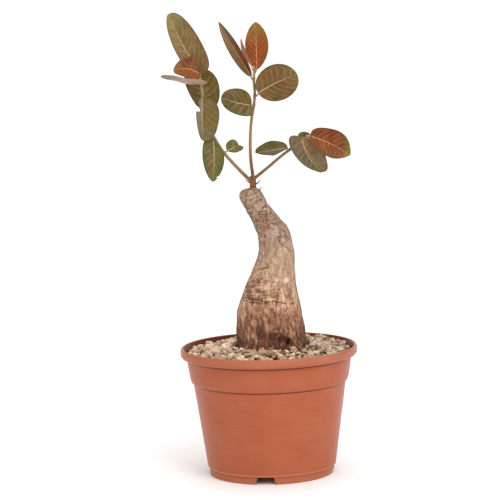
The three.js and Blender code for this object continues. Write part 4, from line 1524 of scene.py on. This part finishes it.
@dataclass
class ShootNeck:
    """The short woody neck on the crown, with dry spikes, that carries the branchlets."""

    line: tuple[Point, ...] = ((-10.6, 0.0, 271.8), (-10.5, 0.0, 280.0), (-10.4, 0.0, 288.0))
    radius: float = 3.15
    rows: int = 70
    cols: int = 40
    spikes: tuple[tuple[Point, ...], ...] = (
        ((-12.0, -1.0, 279.8), (-15.0, -1.5, 281.2), (-17.7, -2.0, 283.7)),
        ((-9.0, -1.0, 278.6), (-5.4, -1.6, 280.2), (-3.0, -2.0, 282.9)),
    )
    spike_radii: tuple[float, float] = (0.85, 0.22)
    tones: Stops = ((0.0, "#633d2a"), (0.35, "#855133"), (1.0, "#8a603a"))
    finish: Bark = Bark("woody_neck_bark", "twig_colour", grain_mm=0.9, contrast=0.3)

    def body(self) -> MeshData:
        """A knobbly rod, rounded at its top; its colour darkens where it meets the crown.

        Returns:
            The neck without its spikes.
        """
        line = path(self.line, self.rows)
        share = np.linspace(0.0, 1.0, self.rows)
        radius = self.radius * np.sqrt(np.clip((1.0 - share) / 0.16, 0.004, 1.0))
        grid = rod(line, radius, self.cols, DEPTH)
        rings = np.sin(grid[..., 2] * 2.1) > 0.75
        rough = 1.0 + 0.08 * fractal(grid, (2.6, 2.6, 2.0), 41, 4) - 0.03 * rings
        grid = line[:, None] + (grid - line[:, None]) * rough[..., None]
        colour = ramp(self.tones, share[:, None] + 0.0 * rough)
        colour = mix(colour, "#4d3024", 0.6 * step(fractal(grid, 2.2, 43), 0.0, 0.5))
        return skin(grid, values={"twig_colour": colour})

    def build(self) -> None:
        """Makes the neck and its spikes as one piece."""
        parts = [self.body()]
        for spike in self.spikes:
            grid = rod(path(spike, 12), np.linspace(*self.spike_radii, 12), 10, DEPTH)
            parts.append(skin(grid, values={"twig_colour": coat("#4b4845", grid)}))
        piece = make_object("neck_bark", join(parts), self.finish.material())
        settle(piece, ("shoot_neck",))


# ---------------- leaves


class Age(Enum):
    """How old a leaf is, which sets the colour of its veins and the finish it is painted with."""

    GROWN = "leaf_olive"
    YOUNG = "leaf_red"


@dataclass(frozen=True)
class Tone:
    """Colours of one leaf: the halves left and right of the midrib, blotches, tip, rim and underside."""

    left: str
    right: str
    blotch: str
    tip: str
    rim: str
    under: str


@dataclass(frozen=True)
class Leaf:
    """One leaf with its petiole, in mm and degrees.

    base and tip are the ends of the midrib; halves are the widths left and right of it; ends
    shape the two ends (small is blunt); mid moves the widest place; lobes carry the sides back
    past the petiole and tips carry them on past the tip; bend curves the midrib in the blade and
    arch out of it; turn rolls the blade about the midrib; fold lifts the two halves; at is the
    height at which the petiole starts; nicks are tears in the edge: side, from, to, depth; wave
    is the height of the rim's ripples; veins is how strongly the side veins show, vein_gap their
    distance along the midrib and sweep how far they lean to the tip, left and right; tip_from is
    where the tip's colour begins.
    """

    name: str
    twig: str
    at: float
    base: Point
    tip: Point
    halves: tuple[float, float]
    ends: tuple[float, float]
    tone: Tone
    age: Age = Age.GROWN
    bend: float = 0.0
    mid: float = 1.0
    lobes: tuple[float, float] = (0.0, 0.0)
    tips: tuple[float, float] = (0.0, 0.0)
    turn: float = 0.0
    fold: tuple[float, float] = (14.0, 14.0)
    arch: float = 0.04
    nicks: tuple[tuple[int, float, float, float], ...] = ()
    wave: float = 0.5
    veins: float = 0.6
    vein_gap: float = 5.6
    sweep: tuple[float, float] = (0.3, 0.3)
    tip_from: float = 0.68
    thickness: float = 0.5
    rows: int = 84
    cols: int = 45
    # Radii of petiole and midrib: at the bark, in the blade, where the midrib begins, at its end.
    radii: tuple[float, float, float, float] = (0.72, 0.62, 0.58, 0.425)

    def axes(self) -> tuple[Floats, Floats, Floats, float]:
        """The blade's own axes.

        Returns:
            Directions along the midrib, left of it and out of the upper face, and its length.
        """
        base, tip = np.array(self.base), np.array(self.tip)
        along = tip - base
        length = float(np.linalg.norm(along))
        along = along / length
        front = np.array([0.0, -1.0, 0.12])
        flat = front - (front @ along) * along
        flat /= np.linalg.norm(flat)
        side = np.cross(flat, along)
        roll = math.radians(self.turn)
        out = math.cos(roll) * flat + math.sin(roll) * side
        return along, np.cross(out, along), out, length

    def surface(self, u: Floats, v: Floats) -> Floats:
        """Places on the blade for u along the midrib (0 to 1) and v across it (left 1, right -1).

        The half width is its largest value times (4 u' (1 - u')) ^ end, with u' = u ^ mid; a half
        is tilted by its fold, the midrib bows by 4 u (1 - u), the lobes go back by
        (1 - u)^2 |v|^1.5 and the tips go on by u^2 |v|^1.5.

        Args:
            u: share of the midrib.
            v: share of the half width.

        Returns:
            Points, (..., 3).
        """
        along, side, out, length = self.axes()
        a = np.abs(v)
        pick = np.where(v > 0, 0, 1)
        swollen = np.clip(u, 0.0, 1.0) ** self.mid
        ease = u * u * (3.0 - 2.0 * u)
        end = self.ends[0] + (self.ends[1] - self.ends[0]) * ease
        swell = np.maximum(4.0 * swollen * (1.0 - swollen), 1e-9) ** end
        width = np.array(self.halves)[pick] * swell
        for side_index, start, end_u, depth in self.nicks:
            torn = np.clip((u - start) / (end_u - start), 0.0, 1.0) * (u < end_u) * (pick == side_index)
            width = width * (1.0 - depth * torn)
        fold = np.radians(np.array(self.fold))[pick]
        bow = 4.0 * u * (1.0 - u) * length
        stretch = np.array(self.tips)[pick] * u**2 - np.array(self.lobes)[pick] * (1.0 - u) ** 2
        forward = length * u + stretch * a**1.5 * swell
        sideways = v * width * np.cos(fold * (0.6 + 0.4 * a)) + self.bend * bow
        ripple = np.sin(u * 11.0 + 1.9 * pick + len(self.name)) * a**2 * swell
        lift = a * width * np.sin(fold) * (0.7 + 0.3 * a) + self.arch * bow + self.wave * ripple
        place = np.array(self.base) + forward[..., None] * along
        return place + sideways[..., None] * side + lift[..., None] * out

    def blade(self) -> MeshData:
        """The blade as a flattened tube: the upper face out and the lower face back, row by row.

        Rows and columns follow cosines, so that they lie closer at the ends and at the rim.

        Returns:
            The blade with its colours and veins.
        """
        u = (1.0 - np.cos(np.linspace(0.035, math.pi - 0.035, self.rows))) / 2.0
        v = np.sin(np.linspace(math.pi / 2, -math.pi / 2, self.cols))
        uu, vv = np.meshgrid(u, v, indexing="ij")
        sheet = self.surface(uu, vv)
        _, _, out, _ = self.axes()
        normal = np.cross(np.gradient(sheet, axis=0), np.gradient(sheet, axis=1))
        normal[[0, -1]] = normal[[1, -2]]
        normal /= np.maximum(np.linalg.norm(normal, axis=-1, keepdims=True), 1e-9)
        normal *= np.sign(np.sum(normal * out))
        half = 0.5 * self.thickness * (1.0 - 0.7 * np.abs(vv) ** 6)[..., None]
        grid = np.concatenate([sheet + normal * half, (sheet - normal * half)[:, ::-1]], axis=1)
        both_u = np.concatenate([uu, uu[:, ::-1]], axis=1)
        both_v = np.concatenate([vv, vv[:, ::-1]], axis=1)
        upper = np.concatenate([np.ones_like(uu), np.zeros_like(uu)], axis=1)
        values = {
            "blade_colour": self.colours(grid, both_u, both_v, upper),
            "vein_phase": self.vein_phase(grid, both_u, both_v),
            "vein_strength": self.vein_strength(grid, both_v, upper),
        }
        return skin(grid, values=values)

    def vein_phase(self, grid: Floats, u: Floats, v: Floats) -> Floats:
        """Counts the side veins: (u - sweep (0.65 |v| + 0.35 |v|^2)) times one vein for each gap.

        The right half is shifted by half a step, and noise bends the lines a little.

        Args:
            grid: places on the blade.
            u: share of the midrib.
            v: share of the half width.

        Returns:
            The phase, whole on a vein.
        """
        a = np.abs(v)
        pick = np.where(v > 0, 0, 1)
        count = round(self.axes()[3] / self.vein_gap)
        back = np.array(self.sweep)[pick] * (0.65 * a + 0.35 * a * a)
        return (u - back) * count + 0.5 * pick + 0.22 * noise(grid, 8.0, len(self.name)) + 3.0

    def vein_strength(self, grid: Floats, v: Floats, upper: Floats) -> Floats:
        """Veins fade towards the rim, vary along the blade and are fainter on the lower face."""
        vary = 0.75 + 0.45 * noise(grid, 7.0, 7 + len(self.twig))
        return self.veins * vary * step(np.abs(v), 1.0, 0.5) * (0.55 + 0.45 * upper)

    def colours(self, grid: Floats, u: Floats, v: Floats, upper: Floats) -> Floats:
        """Colour of the blade: halves, blotches, a paler band by the midrib, tip, rim, underside.

        Args:
            grid: places on the blade.
            u: share of the midrib.
            v: share of the half width.
            upper: 1 on the upper face, 0 on the lower.

        Returns:
            Linear colours, (..., 4).
        """
        a = np.abs(v)
        seed = 100 + sum(ord(letter) for letter in self.name)
        colour = mix(coat(self.tone.left, grid), self.tone.right, step(v, 0.04, -0.04))
        between = 1.0 - 2.0 * np.abs(np.mod(self.vein_phase(grid, u, v), 1.0) - 0.5)
        cloud = fractal(grid, 8.0, seed) - 0.5 * between
        colour = mix(colour, self.tone.blotch, 0.85 * step(cloud, -0.45, 0.25))
        flush = fractal(grid, 5.5, seed + 3)
        colour[..., :3] *= 1.0 + flush[..., None] * np.array([0.3, -0.12, -0.2])
        near_tip = step(u + 0.1 * noise(grid, 6.0, seed + 1), self.tip_from, 1.0)
        colour = mix(colour, self.tone.tip, 0.85 * near_tip)
        near_rim = step(a + 0.05 * noise(grid, 4.0, seed + 2), 0.84, 1.0)
        colour = mix(colour, self.tone.rim, 0.75 * near_rim)
        turned = 0.8 * (1.0 - upper)
        colour = mix(colour, self.tone.under, turned)
        return mix(colour, self.tone.tip, 0.6 * turned * step(u, self.tip_from, 1.0))

    def rib(self, twig: Branchlet) -> MeshData:
        """The petiole and the midrib as one tapering rod, from the twig's bark to near the tip.

        The petiole leaves the twig square to its bark and bends into the blade on a cubic curve;
        from there the rod follows the midrib and ends 92 % of the way along.

        Args:
            twig: the branchlet that carries the leaf.

        Returns:
            The rod.
        """
        line = twig.centre(400)
        share = float(np.interp(self.at, line[:, 2], np.linspace(0.0, 1.0, len(line))))
        spot = int(share * (len(line) - 1))
        root = line[spot]
        heading = line[min(spot + 2, len(line) - 1)] - line[max(spot - 2, 0)]
        heading = heading / np.linalg.norm(heading)
        along, _, out, _ = self.axes()
        inner = self.surface(np.array([0.01, 0.1]), np.array([0.0, 0.0]))
        away = inner[0] - root
        away = away - (away @ heading) * heading
        away = away / np.linalg.norm(away)
        bark = float(twig.skin_radius(np.array([share]))[0])
        start = root + away * (bark - 0.1)
        reach = float(np.linalg.norm(inner[1] - start))
        stops = np.stack([start, start + away * 0.3 * reach, inner[1] - along * 0.35 * reach, inner[1]])
        t = np.linspace(0.0, 1.0, 16)[:, None]
        share_of = ((1 - t) ** 3, 3 * t * (1 - t) ** 2, 3 * t**2 * (1 - t), t**3)
        curve = sum(weight * stop for weight, stop in zip(share_of, stops))
        on = np.linspace(0.12, 0.93, 36)
        centre = np.concatenate([curve, self.surface(on, np.zeros_like(on))])
        radius = np.concatenate([np.linspace(*self.radii[:2], 16), np.linspace(*self.radii[2:], 36)])
        # The first spoke is set by the blade's upper face, tipped a little off any run of the path.
        tipped = np.array([1.0, 0.35, 0.2]) if abs(along[1]) < 0.6 else np.array([0.3, 0.1, 1.0])
        grid = rod(centre, radius, 10, out + 0.02 * tipped)
        on = np.linspace(0.0, 1.0, len(centre))[:, None] + 0.0 * grid[..., 0]
        pale = "#b39873" if self.age is Age.GROWN else "#bd8559"
        colour = mix(coat(pale, grid), "#8c5a43", 0.5 * step(on, 0.3, 0.0))
        colour = mix(colour, self.tone.tip, 0.65 * step(on, 0.6, 1.0))
        flat = np.zeros(grid.shape[:2])
        return skin(grid, values={"blade_colour": colour, "vein_phase": flat, "vein_strength": flat})

    def build(self, twig: Branchlet, material: bpy.types.Material) -> None:
        """Makes the leaf with its petiole."""
        piece = make_object(f"blade_{self.name}", join([self.blade(), self.rib(twig)]), material)
        settle(piece, (f"leaf_{self.name}",))


BRONZE = Tone("#644a24", "#5f421e", "#71512b", "#685823", "#4a4320", "#756351")
OLIVE = Tone("#5e5724", "#5c5125", "#6e5f3f", "#636031", "#40411c", "#706751")
DARK = Tone("#5d4b1f", "#5f4e1f", "#736145", "#5f5b2d", "#403e21", "#6e604e")
REDDISH = Tone("#6c2e11", "#703914", "#804c25", "#786d20", "#4d3b26", "#73513e")

TWIGS: tuple[Branchlet, ...] = (
    Branchlet(
        "left",
        (
            (-13.0, -0.6, 282.6), (-18.8, -1.5, 288.4), (-26, -2.8, 296.4), (-32.7, -4, 304.2),
            (-37.8, -4.8, 310.6), (-45.2, -6, 323), (-52, -5, 334), (-54.6, -3, 345),
            (-55.6, -2, 358), (-56, -1, 370), (-58, 0, 382),
        ),
        (-58.4, 0, 385), 1.7, 1.1,
        (
            (0.0, "#774c2f"), (0.2, "#8c7248"), (0.45, "#8b8155"), (0.7, "#988b5c"), (0.93, "#938a5a"),
            (1.0, "#b7b387"),
        ),
        (309.6, 324.0, 352.0, 364.0, 374.0, 382.6), 51, "#c2c79a",
    ),
    Branchlet(
        "centre",
        (
            (-10.4, 0.6, 287.2), (-11.8, 1.4, 301), (-12, 2.4, 316), (-11, 3.2, 332),
            (-9.6, 3.4, 343), (-7.2, 3, 355), (-6.2, 3, 366), (-6.8, 2.6, 377), (-6.1, 1, 387),
        ),
        (-6.2, 0.4, 391), 1.55, 1.15,
        ((0.0, "#643921"), (0.12, "#7a573a"), (0.35, "#947643"), (0.8, "#866838"), (1.0, "#95905c")),
        (353.0, 362.0, 378.0, 387.0), 61, "#a5a06c",
    ),
    Branchlet(
        "right",
        (
            (-7.8, -0.6, 285.2), (-1.1, -2.5, 290.4), (6.7, -6, 296.8), (14.4, -10, 303.4),
            (24.3, -14.6, 311), (34, -17.5, 318.2), (42, -20.5, 323.4),
        ),
        (45, -21.5, 325), 1.5, 1.1,
        ((0.0, "#70462b"), (0.2, "#816742"), (0.7, "#88724c"), (0.93, "#a39069"), (1.0, "#c4b793")),
        (311.4, 321.2, 323.9), 71, "#c9bb98",
    ),
)

LEAVES: tuple[Leaf, ...] = (
    Leaf("left_1", "left", 309.6, (-33.6, -6.4, 311.6), (-22.9, 1, 316.2), (8, 6.5), (0.43, 0.56), OLIVE,
         bend=-0.02, mid=1.03, lobes=(1.7, -2.4), tips=(2, 8), turn=15, fold=(20, 14), arch=0.05, wave=0.2),
    Leaf("left_2", "left", 324, (-46.8, -10, 324.4), (-48.3, -14, 283.4), (10.1, 11.7), (0.62, 0.66), OLIVE,
         bend=0.03, mid=0.76, lobes=(-8, 5), tips=(1.5, -1.7), fold=(18, 18),
         nicks=((0, 0.84, 0.895, 0.42),)),
    Leaf("left_3", "left", 364, (-55.8, -6.5, 363), (-55.5, -16, 322.5), (17, 7.5), (0.75, 0.36),
         Tone("#67562d", "#766e60", "#725f3e", "#6a603f", "#474528", "#787065"),
         bend=-0.02, mid=0.8, lobes=(0, 1), fold=(14, 45), arch=0.05, nicks=((1, 0.12, 0.36, 0.8),)),
    Leaf("left_4", "left", 352, (-54.2, 5.5, 352), (-66.5, 16, 389.2), (14, 16.6), (0.4, 0.54),
         Tone("#5f4a1b", "#614d1b", "#75603e", "#615a29", "#434125", "#6e604e"),
         bend=-0.1, mid=1.2, lobes=(0, 14), fold=(12, 12), veins=0.75),
    Leaf("left_5", "left", 379, (-57.2, 5, 384), (-85.6, 16, 442.2), (9.5, 17), (0.38, 0.46),
         Tone("#786338", "#6e5430", "#7a6139", "#817245", "#554b29", "#786b56"),
         bend=0.03, mid=0.78, lobes=(0, 1), veins=0.95, vein_gap=8.5, sweep=(0.12, 0.42)),
    Leaf("left_6", "left", 382, (-57.4, -4.6, 384.6), (-82.2, -9.5, 389.4), (10.8, 12), (0.57, 0.53),
         Tone("#7f4316", "#5d2307", "#794517", "#865a1c", "#795a22", "#7f5139"), Age.YOUNG,
         bend=-0.12, mid=0.78, turn=-20, veins=0.3),
    Leaf("left_7", "left", 374, (-52, -10, 376), (-92.4, -33, 385.4), (7.6, 8.2), (0.9, 0.3),
         Tone("#917152", "#917152", "#98745a", "#4f4d3c", "#746951", "#aa8c7d"), Age.YOUNG,
         bend=-0.12, mid=0.6, lobes=(2.5, 2.5), turn=-108, fold=(0, 6), arch=0.03, veins=0.25, tip_from=0.35),
    Leaf("centre_1", "centre", 353, (-9.8, -3.2, 354), (-38.1, 4, 362.4), (11.3, 13.8), (0.66, 0.56), DARK,
         bend=0.05, mid=0.82, lobes=(15, 0), sweep=(0.3, 0.4)),
    Leaf("centre_2", "centre", 362, (-3, -2, 365.3), (34.4, -4, 381.8), (17.4, 18.2), (0.54, 0.51), BRONZE,
         bend=0.03, mid=1.07, lobes=(5, 0), veins=0.75, sweep=(0.12, 0.4)),
    Leaf("centre_3", "centre", 378, (-9, 5.5, 380.8), (-38.5, 13, 433.3), (8.8, 8.4), (0.7, 0.78),
         Tone("#786243", "#7a3718", "#825733", "#80684b", "#655635", "#7e6a4f"),
         mid=0.8, turn=8, fold=(50, 50), veins=0.4, tip_from=0.1),
    Leaf("centre_4", "centre", 384, (-3.7, 4.6, 387), (-3.5, 9, 432), (10.8, 12), (0.76, 0.7),
         Tone("#7b350a", "#85411a", "#89450d", "#7a6317", "#72611d", "#805943"), Age.YOUNG,
         veins=0.85, tip_from=0.5),
    Leaf("centre_5", "centre", 386.5, (-7.8, -4.2, 391), (-17.6, -11, 417.4), (5, 5), (0.6, 0.75),
         Tone("#986d5d", "#8a5538", "#915f48", "#9e796f", "#a1847a", "#a18074"), Age.YOUNG,
         mid=0.9, turn=72, fold=(12, 12), veins=0.2, wave=0.2),
    Leaf("right_1", "right", 311.4, (23.3, -18.2, 313.8), (-7.2, -13, 309.5), (11.2, 11.4), (0.53, 0.69),
         Tone("#504016", "#524316", "#635335", "#524e23", "#403e21", "#6e604e"),
         bend=0.076, mid=0.88, lobes=(-2.8, -1.4), tips=(-8, 4.6), turn=-50, veins=0.45),
    # right_2: its left half is painted lighter and its right half darker, a painted highlight that offsets
    # the shadow right_3 casts on the left half.
    Leaf("right_2", "right", 321, (36.3, -24.2, 323.4), (54.4, -26, 290.2), (15.3, 11.6), (1, 0.46),
         Tone("#876a49", "#5c5139", "#70593a", "#6b5d38", "#4b472d", "#796c5a"),
         bend=-0.08, mid=0.71, lobes=(-12, 19), tips=(6.8, -8), fold=(4, 14), arch=0.03, wave=0.3),
    Leaf("right_3", "right", 323.2, (44.6, -30, 324.7), (80.9, -45, 307.3), (14.1, 13.5), (0.31, 0.74),
         REDDISH, Age.YOUNG,
         bend=0.036, mid=1.32, lobes=(4.6, -4.8), tips=(0.6, -1.1), fold=(14, 25), veins=0.5),
    Leaf("right_4", "right", 321.8, (45.5, -15, 320.8), (33, -9, 323.3), (3, 6), (0.5, 0.5), OLIVE,
         lobes=(0, 3), fold=(12, 12), wave=0.2),
)


@dataclass
class Foliage:
    """All the branchlets and leaves with the finishes they share."""

    twigs: tuple[Branchlet, ...]
    leaves: tuple[Leaf, ...]
    twig_finish: Bark = Bark(
        "young_twig_skin", "twig_colour",
        grain_mm=0.8, stretch=0.3, contrast=0.16, gloss=(0.6, 0.3), relief_mm=0.2,
    )
    grown: LeafSkin = LeafSkin("grown_leaf", "#a48860")
    young: LeafSkin = LeafSkin("young_leaf", "#be7f50", gloss=(0.45, 0.2))

    def build(self) -> None:
        """Makes the branchlets, then the leaves on them."""
        twig_skin = self.twig_finish.material()
        blades = {Age.GROWN: self.grown.material(), Age.YOUNG: self.young.material()}
        for twig in self.twigs:
            twig.build(twig_skin)
        carriers = {twig.name: twig for twig in self.twigs}
        for leaf in self.leaves:
            leaf.build(carriers[leaf.twig], blades[leaf.age])


# ---------------- stage


@dataclass
class Studio:
    """A pale floor, a soft light, a white sky and the camera, in metres, watts and radians."""

    floor_half: float = 6.0
    floor_colour: str = "#fdfdfc"
    camera_place: Point = (0.0, -2.0, 0.452)
    yaw: float = -0.0076
    pitch: float = 0.1176
    roll: float = -0.030
    focal_length: float = 4.214    # in widths of the frame
    sensor_mm: float = 36.0
    clip_end: float = 50.0
    lamp_place: Point = (1.0, -1.7, 1.7)
    lamp_aim: Point = (0.0, 0.0, 0.22)
    lamp_side: float = 1.3
    lamp_watts: float = 24.0
    sky: float = 1.06
    side_sky: float = 0.24
    overhead: float = 0.45
    # Parts of a direction between which the sky changes: upward above the white band, sideways
    # towards the sides, and upward to the overhead light.
    horizon: tuple[float, float] = (0.13, 0.2)
    turning: tuple[float, float] = (0.2, 0.9)
    rise: tuple[float, float] = (0.2, 0.9)

    def floor(self) -> None:
        """A large pale sheet at z = 0."""
        half = self.floor_half
        corners = [(-half, -half, 0), (half, -half, 0), (half, half, 0), (-half, half, 0)]
        mesh = bpy.data.meshes.new("floor")
        mesh.from_pydata(corners, [], [(0, 1, 2, 3)])
        # Matt backdrop paper, which shows soft shadows and no gleam.
        material, _, shader = new_material("pale_paper")
        shader.inputs["Base Color"].default_value = linear(self.floor_colour)
        shader.inputs["Roughness"].default_value = 0.9
        mesh.materials.append(material)
        sheet = bpy.data.objects.new("floor", mesh)
        bpy.context.scene.collection.objects.link(sheet)

    def light(self) -> None:
        """A large square light that faces the plant, and a white sky.

        The sky is brighter overhead, and dimmer at both sides above a white band at the horizon.
        """
        lamp = bpy.data.lights.new("key", "AREA")
        lamp.size = self.lamp_side
        lamp.energy = self.lamp_watts
        holder = bpy.data.objects.new("key", lamp)
        holder.location = self.lamp_place
        facing = Vector(self.lamp_aim) - Vector(self.lamp_place)
        holder.rotation_euler = facing.to_track_quat("-Z", "Y").to_euler()
        bpy.context.scene.collection.objects.link(holder)
        world = bpy.data.worlds.new("pale_sky")
        world.use_nodes = True
        tree = world.node_tree
        sky = tree.nodes["Background"]
        sky.inputs["Color"].default_value = (1.0, 1.0, 1.0, 1.0)
        heading = add_node(tree, "ShaderNodeTexCoord").outputs["Generated"]
        parts = add_node(tree, "ShaderNodeSeparateXYZ", inputs={0: heading})
        upward = parts.outputs["Z"]
        sideways = add_node(tree, "ShaderNodeMath", {"operation": "ABSOLUTE"}, {0: parts.outputs["X"]})
        start, end = self.horizon
        span = {0: upward, 1: start, 2: end, 3: self.sky, 4: self.side_sky}
        side = add_node(tree, "ShaderNodeMapRange", inputs=span).outputs[0]
        start, end = self.turning
        span = {0: sideways.outputs[0], 1: start, 2: end, 3: self.sky, 4: side}
        level = add_node(tree, "ShaderNodeMapRange", inputs=span).outputs[0]
        start, end = self.rise
        span = {0: upward, 1: start, 2: end, 3: 0.0, 4: self.overhead}
        above = add_node(tree, "ShaderNodeMapRange", inputs=span).outputs[0]
        strength = add_node(tree, "ShaderNodeMath", {"operation": "ADD"}, {0: level, 1: above})
        tree.links.new(strength.outputs[0], sky.inputs["Strength"])
        bpy.context.scene.world = world

    def camera(self) -> None:
        """Camera two metres in front, slightly above and rolled, from yaw, pitch and roll."""
        cos_p, sin_p = math.cos(self.pitch), math.sin(self.pitch)
        forward = Vector((math.sin(self.yaw) * cos_p, math.cos(self.yaw) * cos_p, -sin_p))
        level = forward.cross(Vector((0.0, 0.0, 1.0))).normalized()
        upright = level.cross(forward)
        cos_r, sin_r = math.cos(self.roll), math.sin(self.roll)
        right = cos_r * level + sin_r * upright
        up = -sin_r * level + cos_r * upright
        lens = bpy.data.cameras.new("camera")
        lens.sensor_width = self.sensor_mm
        lens.lens = self.focal_length * self.sensor_mm
        lens.clip_end = self.clip_end
        camera = bpy.data.objects.new("camera", lens)
        turn = Matrix((right, up, -forward)).transposed()
        camera.matrix_world = Matrix.Translation(self.camera_place) @ turn.to_4x4()
        bpy.context.scene.collection.objects.link(camera)
        bpy.context.scene.camera = camera

    def build(self) -> None:
        """Sets up floor, light, camera and an untouched view of the colours."""
        bpy.context.scene.view_settings.view_transform = "Standard"
        self.floor()
        self.light()
        self.camera()


def dress_soil(frame: dict[str, Any]) -> None:
    """Gives the soil's solid, which keeps its own shape, its finish.

    Args:
        frame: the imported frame.
    """
    soil = frame["nodes"]["potting_mix"]
    soil.data.materials.clear()
    soil.data.materials.append(LooseSoil().material())
    log.info("potting_mix: keeps its solid")


def main() -> None:
    """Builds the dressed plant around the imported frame."""
    logging.basicConfig(level=logging.INFO, format="%(name)s: %(message)s")
    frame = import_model()
    NurseryPot().build()
    dress_soil(frame)
    TopDressing().build()
    Caudex().build()
    ShootNeck().build()
    Foliage(TWIGS, LEAVES).build()
    Studio().build()


if __name__ == "__main__":
    main()
